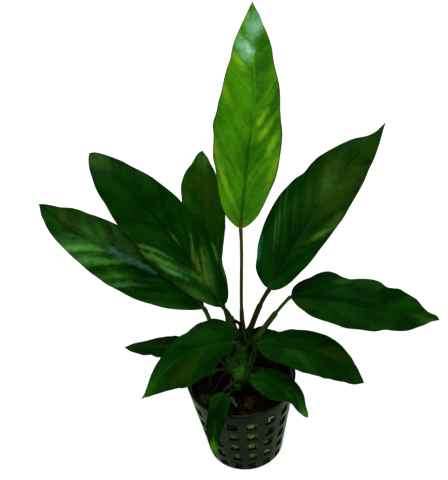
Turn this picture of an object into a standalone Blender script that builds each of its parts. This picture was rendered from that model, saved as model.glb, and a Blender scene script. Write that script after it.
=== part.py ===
"""Potted anubias in a slotted net pot, as faceted solids.

The origin is the centre of the underside of the pot, +Z is up and the viewer
is on the -Y side. Places and sizes in the tables are in millimetres, and MM
turns them into metres. Leaf halves are left and right as seen on the upper
face with the tip pointing away.
"""

import math

import bmesh
import bpy
from mathutils import Vector

MM = 0.001

# Clearance kept between pieces that touch in life, and between a stalk and its blade.
GAP = 0.3
BLADE_START = 0.5

# The pot: a tapered cup with rows of slots in its wall.
POT_HEIGHT = 52.0
POT_BASE_RADIUS = 19.0
POT_RIM_RADIUS = 27.5
POT_WALL = 1.2
SLOT_COLUMNS = 16
SLOT_ROWS = 5
SLOT_ANGLE = 10.0
SLOT_HALF_HEIGHT = 2.3
SLOT_TOP_ROW = 41.3
SLOT_PITCH = 9.5
SLOT_FIRST_COLUMN = -15.5
FLOOR_DISC_RADIUS = 8.0
FLOOR_SLOT_OUTER = 15.5

# The plug of rock wool that fills the pot.
WOOL_TOP = 46.5
WOOL_CROWN = 4.0
WOOL_LUMP = 0.7
WOOL_SIDES = 32

# The creeping stem, from its old end to its growing tip.
RHIZOME_LINE = ((0.5, -12, 59), (0.5, -9, 60), (1, -4, 62.5), (1, 1, 65), (1, 5, 67), (1, 8, 69))
RHIZOME_RADII = (2.2, 4.6, 5.2, 5.0, 4.6, 2.6)

# Roots that hold the stem up: start, knee, place on the wool, and thickness.
ROOTS = (
    ((-2, -9, 58), (-8, -12, 56), (-11, -14), 1.3),
    ((3, -9, 58), (8, -13, 56), (11, -15), 1.2),
    ((4, -3, 60), (12, -4, 58), (15, -4), 1.3),
    ((-3, -3, 61), (-13, -3, 59), (-16, -3), 1.2),
    ((-2, 2, 62), (-10, 7, 60), (-13, 9), 1.2),
    ((3, 3, 63), (10, 8, 61), (12, 12), 1.2),
    ((1, -6, 58), (0, -7, 55), (0, -7), 1.4),
)
ROOT_LIFT = 1.2

# One row for each leaf. The stalk runs from root to base, setting off along leave and
# coming in along arrive. The blade runs from base to tip; arch lifts its middle, sway and bend turn it sideways,
# and roll turns it about its own line. Each half has a width and two fullness powers,
# for the end at the stalk and for the end at the tip. wave is height, count and phase.
LEAVES = (
    dict(name="tall", root=(3, 11.5, 75), leave=(0, 0.3, 1), arrive=(0, 0.1, 1),
         base=(6, 28, 125), tip=(20, 74, 222),
         arch=4, sway=3, bend=3.5, roll=4, left=(16.5, 0.64, 0.88), right=(15, 0.64, 1.08),
         wave=(1.0, 3, 0.0), stalk=(1.1, 0.9), cells=(6, 16)),
    dict(name="upper_right", root=(6.5, 10, 73.5), leave=(0.45, -0.1, 1), arrive=(0.3, -0.05, 1),
         base=(17, 6, 104), tip=(79, 55, 160),
         arch=5, sway=0, bend=4.5, roll=12, left=(21.5, 0.62, 1.0), right=(11.5, 0.55, 1.05),
         wave=(1.0, 2.5, 0.3), stalk=(1.5, 0.9), cells=(6, 16)),
    dict(name="right", root=(9, 6, 71.5), leave=(0.8, 0, 1), arrive=(0.8, 0.05, 0.9),
         base=(27, 6, 98), tip=(96, -12, 92),
         arch=6, sway=2, bend=5, roll=12, left=(14.5, 0.4, 0.52), right=(14, 0.8, 1.15),
         wave=(1.2, 4, 0.0), stalk=(1.5, 0.9), cells=(6, 16)),
    dict(name="back_left", root=(-2.5, 13, 71), leave=(-0.4, 1, 0.8), arrive=(-0.1, 0.3, 1),
         base=(-7, 26, 93), tip=(-9, 66, 144),
         arch=3, sway=-3, bend=4, roll=0, left=(11.5, 0.85, 0.62), right=(10, 0.85, 1.05),
         wave=(0.8, 2, 0.2), stalk=(1.2, 0.9), cells=(6, 12)),
    dict(name="upper_left", root=(-0.5, 10, 73), leave=(-0.3, -0.1, 1), arrive=(-0.6, -0.1, 0.8),
         base=(-6, 7, 94), tip=(-64, 64, 150),
         arch=5, sway=2.5, bend=0.5, roll=-8, left=(17.5, 0.7, 0.72), right=(15, 0.45, 0.62),
         wave=(1.0, 2.5, 0.1), stalk=(1.5, 0.9), cells=(6, 16)),
    dict(name="left", root=(-6, 3, 68), leave=(-1, 0.3, 0.7), arrive=(-0.5, 0.4, 1),
         base=(-15, 13, 88), tip=(-95, 74, 112),
         arch=5, sway=0, bend=-6, roll=-8, left=(19.5, 0.72, 1.1), right=(14, 0.82, 0.8),
         wave=(1.0, 2.5, 0.4), stalk=(1.1, 0.8), cells=(6, 16)),
    dict(name="low_left", root=(-6.2, -3, 64), leave=(-1, 0, 0.3), arrive=(-1, 0.3, 0.2),
         base=(-14, 2, 69), tip=(-57, 16, 62),
         arch=4, sway=-1.5, bend=1.5, roll=-8, left=(7, 0.6, 1.0), right=(6.5, 0.8, 0.95),
         wave=(0.6, 2, 0.0), stalk=(1.1, 0.8), cells=(4, 10)),
    dict(name="front_left", root=(-3, -5, 67.5), leave=(-0.1, -0.2, 1), arrive=(-0.8, -0.1, 0.5),
         base=(-1, -4, 80), tip=(-49, -19, 62),
         arch=4, sway=7, bend=-3, roll=-30, left=(14.5, 0.85, 1.2), right=(10.5, 0.38, 1.55),
         wave=(0.8, 2, 0.2), stalk=(1.1, 0.8), cells=(6, 12)),
    dict(name="front_right", root=(6.5, -2.5, 66), leave=(1, 0, 0.8), arrive=(0.7, -0.2, 0.8),
         base=(9, -2, 76), tip=(59, -21, 62),
         arch=9, sway=-2, bend=-1, roll=12, left=(11, 0.62, 0.92), right=(12, 0.58, 0.74),
         wave=(0.8, 2.5, 0.3), stalk=(1.1, 0.8), cells=(6, 12)),
    dict(name="small_right", root=(5.9, -9.2, 61), leave=(1, -0.4, 0.4), arrive=(0.6, -0.2, 0.5),
         base=(5.5, -13, 65.5), tip=(31, -23, 42),
         arch=9, sway=-1.5, bend=-4, roll=10, left=(7.5, 0.4, 1.0), right=(8.5, 0.4, 0.8),
         wave=(0.5, 2, 0.0), stalk=(1.0, 0.8), cells=(4, 10)),
    dict(name="small_front", root=(-2.5, -14.5, 59.5), leave=(-0.4, -1, 0.5), arrive=(-0.5, -1, 0.3),
         base=(-7, -21, 62), tip=(-16, -38, 38),
         arch=4, sway=2, bend=-1, roll=-8, left=(4.5, 0.4, 1.05), right=(5, 0.46, 1.05),
         wave=(0.4, 2, 0.0), stalk=(0.9, 0.8), cells=(4, 10)),
)
BLADE_THICKNESS = 0.8
BLADE_LEAST_HALF = 0.7
BLADE_FOLD = math.radians(8)
BLADE_CURL = 0.22
STALK_STEPS = 8


def empty_the_scene():
    for leftover in list(bpy.context.scene.objects):
        bpy.data.objects.remove(leftover, do_unlink=True)


def new_collection(name):
    collection = bpy.data.collections.new(name)
    bpy.context.scene.collection.children.link(collection)
    return collection


def new_material(name, colour, roughness):
    material = bpy.data.materials.new(name)
    material.use_nodes = True
    shader = material.node_tree.nodes["Principled BSDF"]
    shader.inputs["Base Color"].default_value = (*colour, 1)
    shader.inputs["Roughness"].default_value = roughness
    shader.inputs["Metallic"].default_value = 0.0
    return material


def add_object(name, data, material, collection):
    data.materials.append(material)
    piece = bpy.data.objects.new(name, data)
    collection.objects.link(piece)
    return piece


def mesh_from(bm, name):
    bmesh.ops.recalc_face_normals(bm, faces=bm.faces[:])
    mesh = bpy.data.meshes.new(name)
    bm.to_mesh(mesh)
    bm.free()
    return mesh


def smooth_sides(mesh):
    mesh.shade_smooth()
    mesh.set_sharp_from_angle(angle=math.radians(40))


def thicken(piece, thickness, offset):
    solidify = piece.modifiers.new("Thickness", "SOLIDIFY")
    solidify.thickness = thickness * MM
    solidify.offset = offset
    solidify.use_even_offset = True


# The leaves.


def leaf_axes(leaf):
    """Along the leaf, out of its upper face, and to its right."""
    along = (Vector(leaf["tip"]) - Vector(leaf["base"])).normalized()
    up = Vector((0, 0, 1))
    face = (up - along * up.dot(along)).normalized()
    side = along.cross(face)
    turn = math.radians(leaf["roll"])
    return along, face * math.cos(turn) + side * math.sin(turn), side * math.cos(turn) - face * math.sin(turn)


def midrib(leaf, t):
    """Place and direction on the blade's centre line, from its stalk end (0) to its tip (1)."""
    along, face, side = leaf_axes(leaf)
    base, tip = Vector(leaf["base"]), Vector(leaf["tip"])
    length = (tip - base).length
    lift = face * leaf["arch"] * 4 / 3
    first = base + along * length * 0.33 + lift + side * (leaf["sway"] * 4 / 3 - leaf["bend"])
    second = base + along * length * 0.70 + lift + side * (leaf["sway"] * 4 / 3 + leaf["bend"])
    rest = 1 - t
    place = rest**3 * base + 3 * t * rest**2 * first + 3 * t**2 * rest * second + t**3 * tip
    heading = 3 * rest**2 * (first - base) + 6 * t * rest * (second - first) + 3 * t**2 * (tip - second)
    return place, heading.normalized()


def half_width(half, t):
    """Width of one half of a blade. It is full near the middle and narrow at both ends."""
    widest, at_stalk, at_tip = half
    total = at_stalk + at_tip
    peak = (at_stalk / total) ** at_stalk * (at_tip / total) ** at_tip
    return max(widest * t**at_stalk * (1 - t) ** at_tip / peak, BLADE_LEAST_HALF)


def blade_point(leaf, t, across):
    """Place on the blade: across runs from -1 at the left margin to 1 at the right one."""
    place, heading = midrib(leaf, t)
    face = leaf_axes(leaf)[1]
    normal = (face - heading * face.dot(heading)).normalized()
    side = heading.cross(normal)
    right = across > 0
    reach = abs(across) * half_width(leaf["right"] if right else leaf["left"], t)
    height, count, phase = leaf["wave"]
    swell = min(1, 4 * t, 5 * (1 - t))
    ripple = height * swell * across**2 * math.sin(math.tau * (count * t + phase + (0.37 if right else 0)))
    rise = reach * (math.sin(BLADE_FOLD) - BLADE_CURL * abs(across)) + ripple
    return place + side * math.copysign(reach * math.cos(BLADE_FOLD), across) + normal * rise


def add_blade(leaf, material, collection):
    columns, rows = leaf["cells"]
    length = (Vector(leaf["tip"]) - Vector(leaf["base"])).length
    bm = bmesh.new()
    bmesh.ops.create_grid(bm, x_segments=columns, y_segments=rows, size=1)
    for vert in bm.verts:
        along = (vert.co.y + 1) / 2
        eased = along - 0.09 * math.sin(math.tau * along)
        t = BLADE_START / length + eased * (1 - BLADE_START / length)
        vert.co = blade_point(leaf, t, vert.co.x) * MM
    piece = add_object("leaf_" + leaf["name"], mesh_from(bm, "leaf_" + leaf["name"]), material, collection)
    thicken(piece, BLADE_THICKNESS, 0)
    smooth_sides(piece.data)
    return piece


def stalk_line(leaf):
    """Points along a leaf's stalk, which ends short of the blade by the clearance."""
    arrive = Vector(leaf["arrive"]).normalized()
    root = Vector(leaf["root"])
    end = Vector(leaf["base"]) - arrive * GAP
    reach = (end - root).length * 0.35
    first = root + Vector(leaf["leave"]).normalized() * reach
    second = end - arrive * reach
    points = []
    for step in range(STALK_STEPS + 1):
        t = step / STALK_STEPS
        rest = 1 - t
        points.append(rest**3 * root + 3 * t * rest**2 * first + 3 * t**2 * rest * second + t**3 * end)
    return points


def tube_curve(name, points, radii):
    """A round tube through the points, closed at both ends."""
    curve = bpy.data.curves.new(name, "CURVE")
    curve.dimensions = "3D"
    curve.bevel_depth = MM
    curve.bevel_resolution = 2
    curve.use_fill_caps = True
    spline = curve.splines.new("POLY")
    spline.points.add(len(points) - 1)
    for knot, place, radius in zip(spline.points, points, radii):
        knot.co = (*(Vector(place) * MM), 1)
        knot.radius = radius
    return curve


def add_stalk(leaf, material, collection):
    thick, thin = leaf["stalk"]
    points = stalk_line(leaf)
    radii = [thin + (thick - thin) * (1 - step / STALK_STEPS) ** 1.5 for step in range(STALK_STEPS + 1)]
    name = "petiole_" + leaf["name"]
    return add_object(name, tube_curve(name, points, radii), material, collection)


# The stem and its roots.


def mesh_tube(name, points, radii, material, collection):
    """A closed tube as a mesh, with the curve's loose caps joined to its side."""
    curve = add_object(name + "_line", tube_curve(name + "_line", points, radii), material, collection)
    bpy.context.view_layer.update()
    mesh = bpy.data.meshes.new_from_object(curve.evaluated_get(bpy.context.evaluated_depsgraph_get()))
    mesh.name = name
    bm = bmesh.new()
    bm.from_mesh(mesh)
    bmesh.ops.remove_doubles(bm, verts=bm.verts[:], dist=0.00001)
    bm.to_mesh(mesh)
    bm.free()
    piece = bpy.data.objects.new(name, mesh)
    piece.matrix_world = curve.matrix_world
    collection.objects.link(piece)
    bpy.data.objects.remove(curve, do_unlink=True)
    return piece


def add_rhizome(material, collection, cutters):
    stem = mesh_tube("rhizome", RHIZOME_LINE, RHIZOME_RADII, material, collection)
    for number, (start, knee, foot, radius) in enumerate(ROOTS, 1):
        name = f"root_{number}"
        end = (*foot, wool_height(*foot) + ROOT_LIFT)
        radii = (radius, radius * 0.9, radius * 0.6)
        root = mesh_tube(name, (start, knee, end), radii, material, cutters)
        root.hide_render = True
        root.display_type = "WIRE"
        union = stem.modifiers.new(name, "BOOLEAN")
        union.operation = "UNION"
        union.solver = "EXACT"
        union.object = root
    smooth_sides(stem.data)
    return stem


# The pot and its filling.


def wall_radius(height):
    return POT_BASE_RADIUS + (POT_RIM_RADIUS - POT_BASE_RADIUS) * height / POT_HEIGHT


def slot_levels():
    """Heights of the slots' lower and upper edges, from the bottom row to the top row."""
    middles = [SLOT_TOP_ROW - SLOT_PITCH * row for row in reversed(range(SLOT_ROWS))]
    return [middle + end * SLOT_HALF_HEIGHT for middle in middles for end in (-1, 1)]


def column_angles():
    """Angles around the pot: each column has one slot and a bar of two facets."""
    step = 360 / SLOT_COLUMNS
    angles = []
    for column in range(SLOT_COLUMNS):
        middle = SLOT_FIRST_COLUMN + step * column
        angles += [middle - SLOT_ANGLE / 2, middle + SLOT_ANGLE / 2, middle + step / 2]
    return angles + [angles[0] + 360]


def add_net_pot(material, collection):
    floor = [(FLOOR_DISC_RADIUS, 0.0), (FLOOR_SLOT_OUTER, 0.0)]
    wall = [(wall_radius(z), z) for z in [0.0, *slot_levels(), POT_HEIGHT]]
    profile = floor + wall
    angles = column_angles()
    bm = bmesh.new()
    bmesh.ops.create_grid(bm, x_segments=len(angles) - 1, y_segments=len(profile) - 1, size=1)
    for face in list(bm.faces):
        middle = face.calc_center_median()
        column = int((middle.x + 1) / 2 * (len(angles) - 1))
        band = int((middle.y + 1) / 2 * (len(profile) - 1))
        wall_slot = band >= 3 and (band - 3) % 2 == 0 and band < len(profile) - 2
        floor_slot = band == 0 and column % 6 == 0
        if (wall_slot and column % 3 == 0) or floor_slot:
            bm.faces.remove(face)
    for vert in bm.verts:
        column = round((vert.co.x + 1) / 2 * (len(angles) - 1))
        radius, height = profile[round((vert.co.y + 1) / 2 * (len(profile) - 1))]
        angle = math.radians(angles[column])
        vert.co = Vector((radius * math.sin(angle), -radius * math.cos(angle), height)) * MM
    bmesh.ops.remove_doubles(bm, verts=bm.verts[:], dist=0.0001)
    inner = [e for e in bm.edges if all(v.co.xy.length < (FLOOR_DISC_RADIUS + 0.1) * MM for v in e.verts)]
    bmesh.ops.contextual_create(bm, geom=inner)
    pot = add_object("net_pot", mesh_from(bm, "net_pot"), material, collection)
    thicken(pot, POT_WALL, -1)
    smooth_sides(pot.data)
    return pot


def wool_height(x, y):
    """Height of the wool's lumpy top, a little higher under the stem."""
    away = math.hypot(x, y) / wall_radius(WOOL_TOP)
    lump = math.sin(0.55 * x + 1.1) * math.cos(0.48 * y - 0.4) + 0.6 * math.sin(0.9 * x - 0.7 * y)
    return WOOL_TOP + WOOL_CROWN * (1 - away**2) + WOOL_LUMP * lump * (1 - away**4)


def add_rock_wool(material, collection):
    bm = bmesh.new()
    slack = POT_WALL * 1.02 + GAP
    low = POT_WALL + GAP
    bmesh.ops.create_cone(
        bm, cap_ends=True, cap_tris=False, segments=WOOL_SIDES,
        radius1=(wall_radius(low) - slack) * MM, radius2=(wall_radius(WOOL_TOP) - slack) * MM,
        depth=(WOOL_TOP - low) * MM)
    bmesh.ops.translate(bm, verts=bm.verts[:], vec=Vector((0, 0, (WOOL_TOP + low) / 2 * MM)))
    top = max(bm.faces, key=lambda face: face.calc_center_median().z)
    for share in (0.2, 0.25, 0.33, 0.5):
        bmesh.ops.inset_region(bm, faces=[top], thickness=share * math.sqrt(top.calc_area() / math.pi))
    bmesh.ops.poke(bm, faces=[top])
    rim = (wall_radius(WOOL_TOP) - slack - 0.5) * MM
    for vert in bm.verts:
        if vert.co.z > (WOOL_TOP - 0.5) * MM and vert.co.xy.length < rim:
            vert.co.z = wool_height(vert.co.x / MM, vert.co.y / MM) * MM
    return add_object("rock_wool", mesh_from(bm, "rock_wool"), material, collection)


def main():
    empty_the_scene()
    plant = new_collection("potted_anubias")
    cutters = new_collection("root_cutters")
    dark_leaf = new_material("dark_leaf", (0.012, 0.075, 0.010), 0.35)
    bright_leaf = new_material("bright_leaf", (0.10, 0.30, 0.01), 0.35)
    stalk_green = new_material("stalk_green", (0.06, 0.11, 0.02), 0.45)
    stem_green = new_material("stem_green", (0.06, 0.16, 0.02), 0.5)
    plastic = new_material("pot_plastic", (0.03, 0.04, 0.036), 0.5)
    wool = new_material("rock_wool", (0.10, 0.09, 0.02), 0.95)
    add_net_pot(plastic, plant)
    add_rock_wool(wool, plant)
    add_rhizome(stem_green, plant, cutters)
    for leaf in LEAVES:
        add_blade(leaf, bright_leaf if leaf["name"] == "tall" else dark_leaf, plant)
        add_stalk(leaf, stalk_green, plant)


main()
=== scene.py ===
"""Looks of a potted anubias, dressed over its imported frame.

The origin is the centre of the underside of the pot, +Z is up and the viewer is on the -Y side.
Places and sizes of the plant and pot are in millimetres, and MM turns them into metres. A finish that
reads places on its piece reads metres. Leaf halves are left and right as seen on the upper face with the
tip pointing away.
"""

import math
import random

import bpy
from mathutils import Matrix, Vector, noise

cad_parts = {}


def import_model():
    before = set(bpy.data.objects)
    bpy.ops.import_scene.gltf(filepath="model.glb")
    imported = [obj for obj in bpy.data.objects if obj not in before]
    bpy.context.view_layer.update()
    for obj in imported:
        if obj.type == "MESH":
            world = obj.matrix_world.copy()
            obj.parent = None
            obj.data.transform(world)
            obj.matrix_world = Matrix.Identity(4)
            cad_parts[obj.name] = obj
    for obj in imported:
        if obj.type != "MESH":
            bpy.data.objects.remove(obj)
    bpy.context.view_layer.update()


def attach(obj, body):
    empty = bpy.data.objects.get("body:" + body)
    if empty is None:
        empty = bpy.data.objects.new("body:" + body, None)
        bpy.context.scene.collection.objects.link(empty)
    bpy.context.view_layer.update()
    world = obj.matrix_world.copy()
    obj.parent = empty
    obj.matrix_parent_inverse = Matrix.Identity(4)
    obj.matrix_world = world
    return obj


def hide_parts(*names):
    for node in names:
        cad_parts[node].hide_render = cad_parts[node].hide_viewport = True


MM = 0.001

# How close points are merged into one: anywhere, and in the fibres.
MERGE = 0.01
FIBRE_MERGE = 0.002

# The camera: how far it looks down and leans, and where it sees the middle of the pot's underside.
CAMERA_DOWN = math.radians(42.5)
CAMERA_LEAN = math.radians(5.0)
PICTURE_SIZE = (448, 480)
FOCAL_PIXELS = 1400.0
ORIGIN_PIXEL = (246.2, 441.2)
ORIGIN_DEPTH = 735.0
SENSOR = 36.0
VIEW_RANGE = (0.01, 20)

# The studio's floor and dome, in metres.
FLOOR_SIZE = 60
FLOOR_DROP = 0.0001
BACKDROP_RADIUS = 12

# The pot.
POT_HEIGHT = 52.0
POT_BASE_RADIUS = 19.0
POT_RIM_RADIUS = 27.5
POT_WALL = 1.2
POT_EDGE_ROUND = 1.0
POT_EDGE_CUTS = (0.75, 0.5, 0.25, 0.0, -0.25, -0.5, -0.75, -1.0)
POT_ARRIS_ROUND = 0.16
SLOT_COLUMNS = 16
SLOT_ROWS = 5
SLOT_TOP_ROW = 41.3
SLOT_PITCH = 9.5
SLOT_MARGIN = 2.05
SLOT_STRETCH = 1.08
SLOT_CORNER = 0.9
SLOT_CORNER_STEPS = 4
SLOT_FIRST_COLUMN = -15.5
COLUMN_WIDTH = 9.2
COLUMN_STRIPS = 6
FLOOR_DISC_RADIUS = 8.0
FLOOR_SLOT_OUTER = 15.5

# The rock wool in the pot.
WOOL_TOP = 46.5
WOOL_CROWN = 4.0
WOOL_LUMP = 0.7
WOOL_SLACK = 1.52
WOOL_FLOOR_GAP = 0.3
WOOL_BULGE = 1.15
WOOL_CELLS = (256, 190)
WOOL_FLOOR_ROWS = 30
WOOL_SIDE_ROWS = 100
SLOT_BULGE_TURN = 5.6
SLOT_BULGE_RISE = 3.0

# The loose lumps and fibres of the wool: how many, how far out, how thick, and the seeds of their dice.
LUMP_COUNT = 90
LUMP_REACH = 23.5
LUMP_SEED = 11
TOP_FIBRES = 800
TOP_FIBRE_REACH = 24.5
TOP_FIBRE_THICKNESS = 0.16
TOP_FIBRE_SEED = 5
FIBRES_A_SLOT = 5
SLOT_FIBRE_THICKNESS = 0.13
SLOT_FIBRE_SEED = 8
SLOT_FIBRE_TURN = 3.5
SLOT_FIBRE_RISE = 1.7
SLOT_FIBRE_DEPTH = 1.2
TUFT_STANDS_OFF = 0.2

# The creeping stem, from its old end to its growing tip, and where a highlight is painted on its skin.
RHIZOME_LINE = ((0.5, -12, 59), (0.5, -9, 60), (1, -4, 62.5), (1, 1, 65), (1, 5, 67), (1, 8, 69))
RHIZOME_RADII = (2.2, 4.6, 5.2, 5.0, 4.6, 2.6)
PAINTED_HIGHLIGHT_SPOT = (-1.0, -8.8)

# How fine the stem and its roots are, how many rings it has, and how deep the roots go into the wool.
STEM_RINGS = 6
STEM_STEPS = 90
STEM_SIDES = 56
ROOT_STEPS = 44
ROOT_SIDES = 12
PALE_END_STEPS = 16
ROOT_DEPTH = 1.5
ROOT_SWAY = 0.9
ROOT_GRAIN = 0.16

# Roots that hold the stem up: start, knee, place on the wool, and thickness.
ROOTS = (
    ((-2, -9, 58), (-8, -12, 56), (-11, -14), 1.3),
    ((3, -9, 58), (8, -13, 56), (11, -15), 1.2),
    ((4, -3, 60), (12, -4, 58), (15, -4), 1.3),
    ((-3, -3, 61), (-13, -3, 59), (-16, -3), 1.2),
    ((-2, 2, 62), (-10, 7, 60), (-13, 9), 1.2),
    ((3, 3, 63), (10, 8, 61), (12, 12), 1.2),
    ((1, -6, 58), (0, -7, 55), (0, -7), 1.4),
)

# One row for each leaf. root and base are the stalk's ends, and leave and arrive its directions there.
# base and tip are the blade's ends. arch, sway, bend and roll shape it between them, and left and right
# give each half its greatest width and its fullness towards the stalk and the tip. wave is the ripple of
# the margins: its height, number and start. stalk is the stalk's thickness at its foot and its top, cells
# the fineness of the blade's mesh, and veins the distance between side veins and how far the blade swells
# between them. The stalks of the two right leaves bend up to about 1 mm off their solids, as they show.
LEAVES = (
    dict(name="tall", root=(3, 11.5, 75), leave=(0, 0.3, 1), arrive=(0, 0.1, 1),
         base=(6, 28, 125), tip=(20, 74, 222),
         arch=4, sway=3, bend=3.5, roll=4, left=(16.5, 0.64, 0.88), right=(15, 0.64, 1.08),
         wave=(1.0, 3, 0.0), stalk=(1.1, 0.9), cells=(48, 150), veins=(10.0, 0.20)),
    dict(name="upper_right", root=(6.5, 10, 73.5), leave=(0.34, -0.1, 1), arrive=(0.55, -0.05, 1),
         base=(17, 6, 104), tip=(79, 55, 160),
         arch=5, sway=0, bend=4.5, roll=12, left=(21.5, 0.62, 1.0), right=(11.5, 0.55, 1.05),
         wave=(1.0, 2.5, 0.3), stalk=(1.4, 1.15), cells=(48, 150), veins=(11.0, 0.16)),
    dict(name="right", root=(9, 6, 71.5), leave=(0.72, 0, 1), arrive=(0.8, 0.05, 0.9),
         base=(27, 6, 98), tip=(96, -12, 92),
         arch=6, sway=2, bend=5, roll=12, left=(14.5, 0.4, 0.52), right=(14, 0.8, 1.15),
         wave=(1.2, 4, 0.0), stalk=(1.5, 0.9), cells=(44, 120), veins=(10.0, 0.14)),
    dict(name="back_left", root=(-2.5, 13, 71), leave=(-0.4, 1, 0.8), arrive=(-0.1, 0.3, 1),
         base=(-7, 26, 93), tip=(-9, 66, 144),
         arch=3, sway=-3, bend=4, roll=0, left=(11.5, 0.85, 0.62), right=(10, 0.85, 1.05),
         wave=(0.8, 2, 0.2), stalk=(1.2, 0.9), cells=(40, 110), veins=(9.0, 0.14)),
    dict(name="upper_left", root=(-0.5, 10, 73), leave=(-0.3, -0.1, 1), arrive=(-0.6, -0.1, 0.8),
         base=(-6, 7, 94), tip=(-64, 64, 150),
         arch=5, sway=2.5, bend=0.5, roll=-8, left=(17.5, 0.7, 0.72), right=(15, 0.45, 0.62),
         wave=(1.0, 2.5, 0.1), stalk=(1.5, 0.9), cells=(48, 150), veins=(11.0, 0.12)),
    dict(name="left", root=(-6, 3, 68), leave=(-1, 0.3, 0.7), arrive=(-0.5, 0.4, 1),
         base=(-15, 13, 88), tip=(-95, 74, 112),
         arch=5, sway=0, bend=-6, roll=-8, left=(19.5, 0.72, 1.1), right=(14, 0.82, 0.8),
         wave=(1.0, 2.5, 0.4), stalk=(1.3, 1.15), cells=(48, 150), veins=(17.0, 0.75)),
    dict(name="low_left", root=(-6.2, -3, 64), leave=(-1, 0, 0.3), arrive=(-1, 0.3, 0.2),
         base=(-14, 2, 69), tip=(-57, 16, 62),
         arch=4, sway=-1.5, bend=1.5, roll=-8, left=(7, 0.6, 1.0), right=(6.5, 0.8, 0.95),
         wave=(0.6, 2, 0.0), stalk=(1.1, 0.8), cells=(32, 90), veins=(7.0, 0.10)),
    dict(name="front_left", root=(-3, -5, 67.5), leave=(-0.1, -0.2, 1), arrive=(-0.8, -0.1, 0.5),
         base=(-1, -4, 80), tip=(-49, -19, 62),
         arch=4, sway=7, bend=-3, roll=-30, left=(14.5, 0.85, 1.2), right=(10.5, 0.38, 1.55),
         wave=(0.8, 2, 0.2), stalk=(1.1, 0.8), cells=(40, 100), veins=(8.0, 0.14)),
    dict(name="front_right", root=(6.5, -2.5, 66), leave=(1, 0, 0.8), arrive=(0.7, -0.2, 0.8),
         base=(9, -2, 76), tip=(59, -21, 62),
         arch=9, sway=-2, bend=-1, roll=12, left=(11, 0.62, 0.92), right=(12, 0.58, 0.74),
         wave=(0.8, 2.5, 0.3), stalk=(1.1, 0.8), cells=(40, 100), veins=(8.0, 0.14)),
    dict(name="small_right", root=(5.9, -9.2, 61), leave=(1, -0.4, 0.4), arrive=(0.6, -0.2, 0.5),
         base=(5.5, -13, 65.5), tip=(31, -23, 42),
         arch=9, sway=-1.5, bend=-4, roll=10, left=(7.5, 0.4, 1.0), right=(8.5, 0.4, 0.8),
         wave=(0.5, 2, 0.0), stalk=(1.0, 0.8), cells=(32, 80), veins=(6.0, 0.10)),
    dict(name="small_front", root=(-2.5, -14.5, 59.5), leave=(-0.4, -1, 0.5), arrive=(-0.5, -1, 0.3),
         base=(-7, -21, 62), tip=(-16, -38, 38),
         arch=4, sway=2, bend=-1, roll=-8, left=(4.5, 0.4, 1.05), right=(5, 0.46, 1.05),
         wave=(0.4, 2, 0.0), stalk=(0.9, 0.8), cells=(28, 70), veins=(5.0, 0.08)),
)

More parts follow.
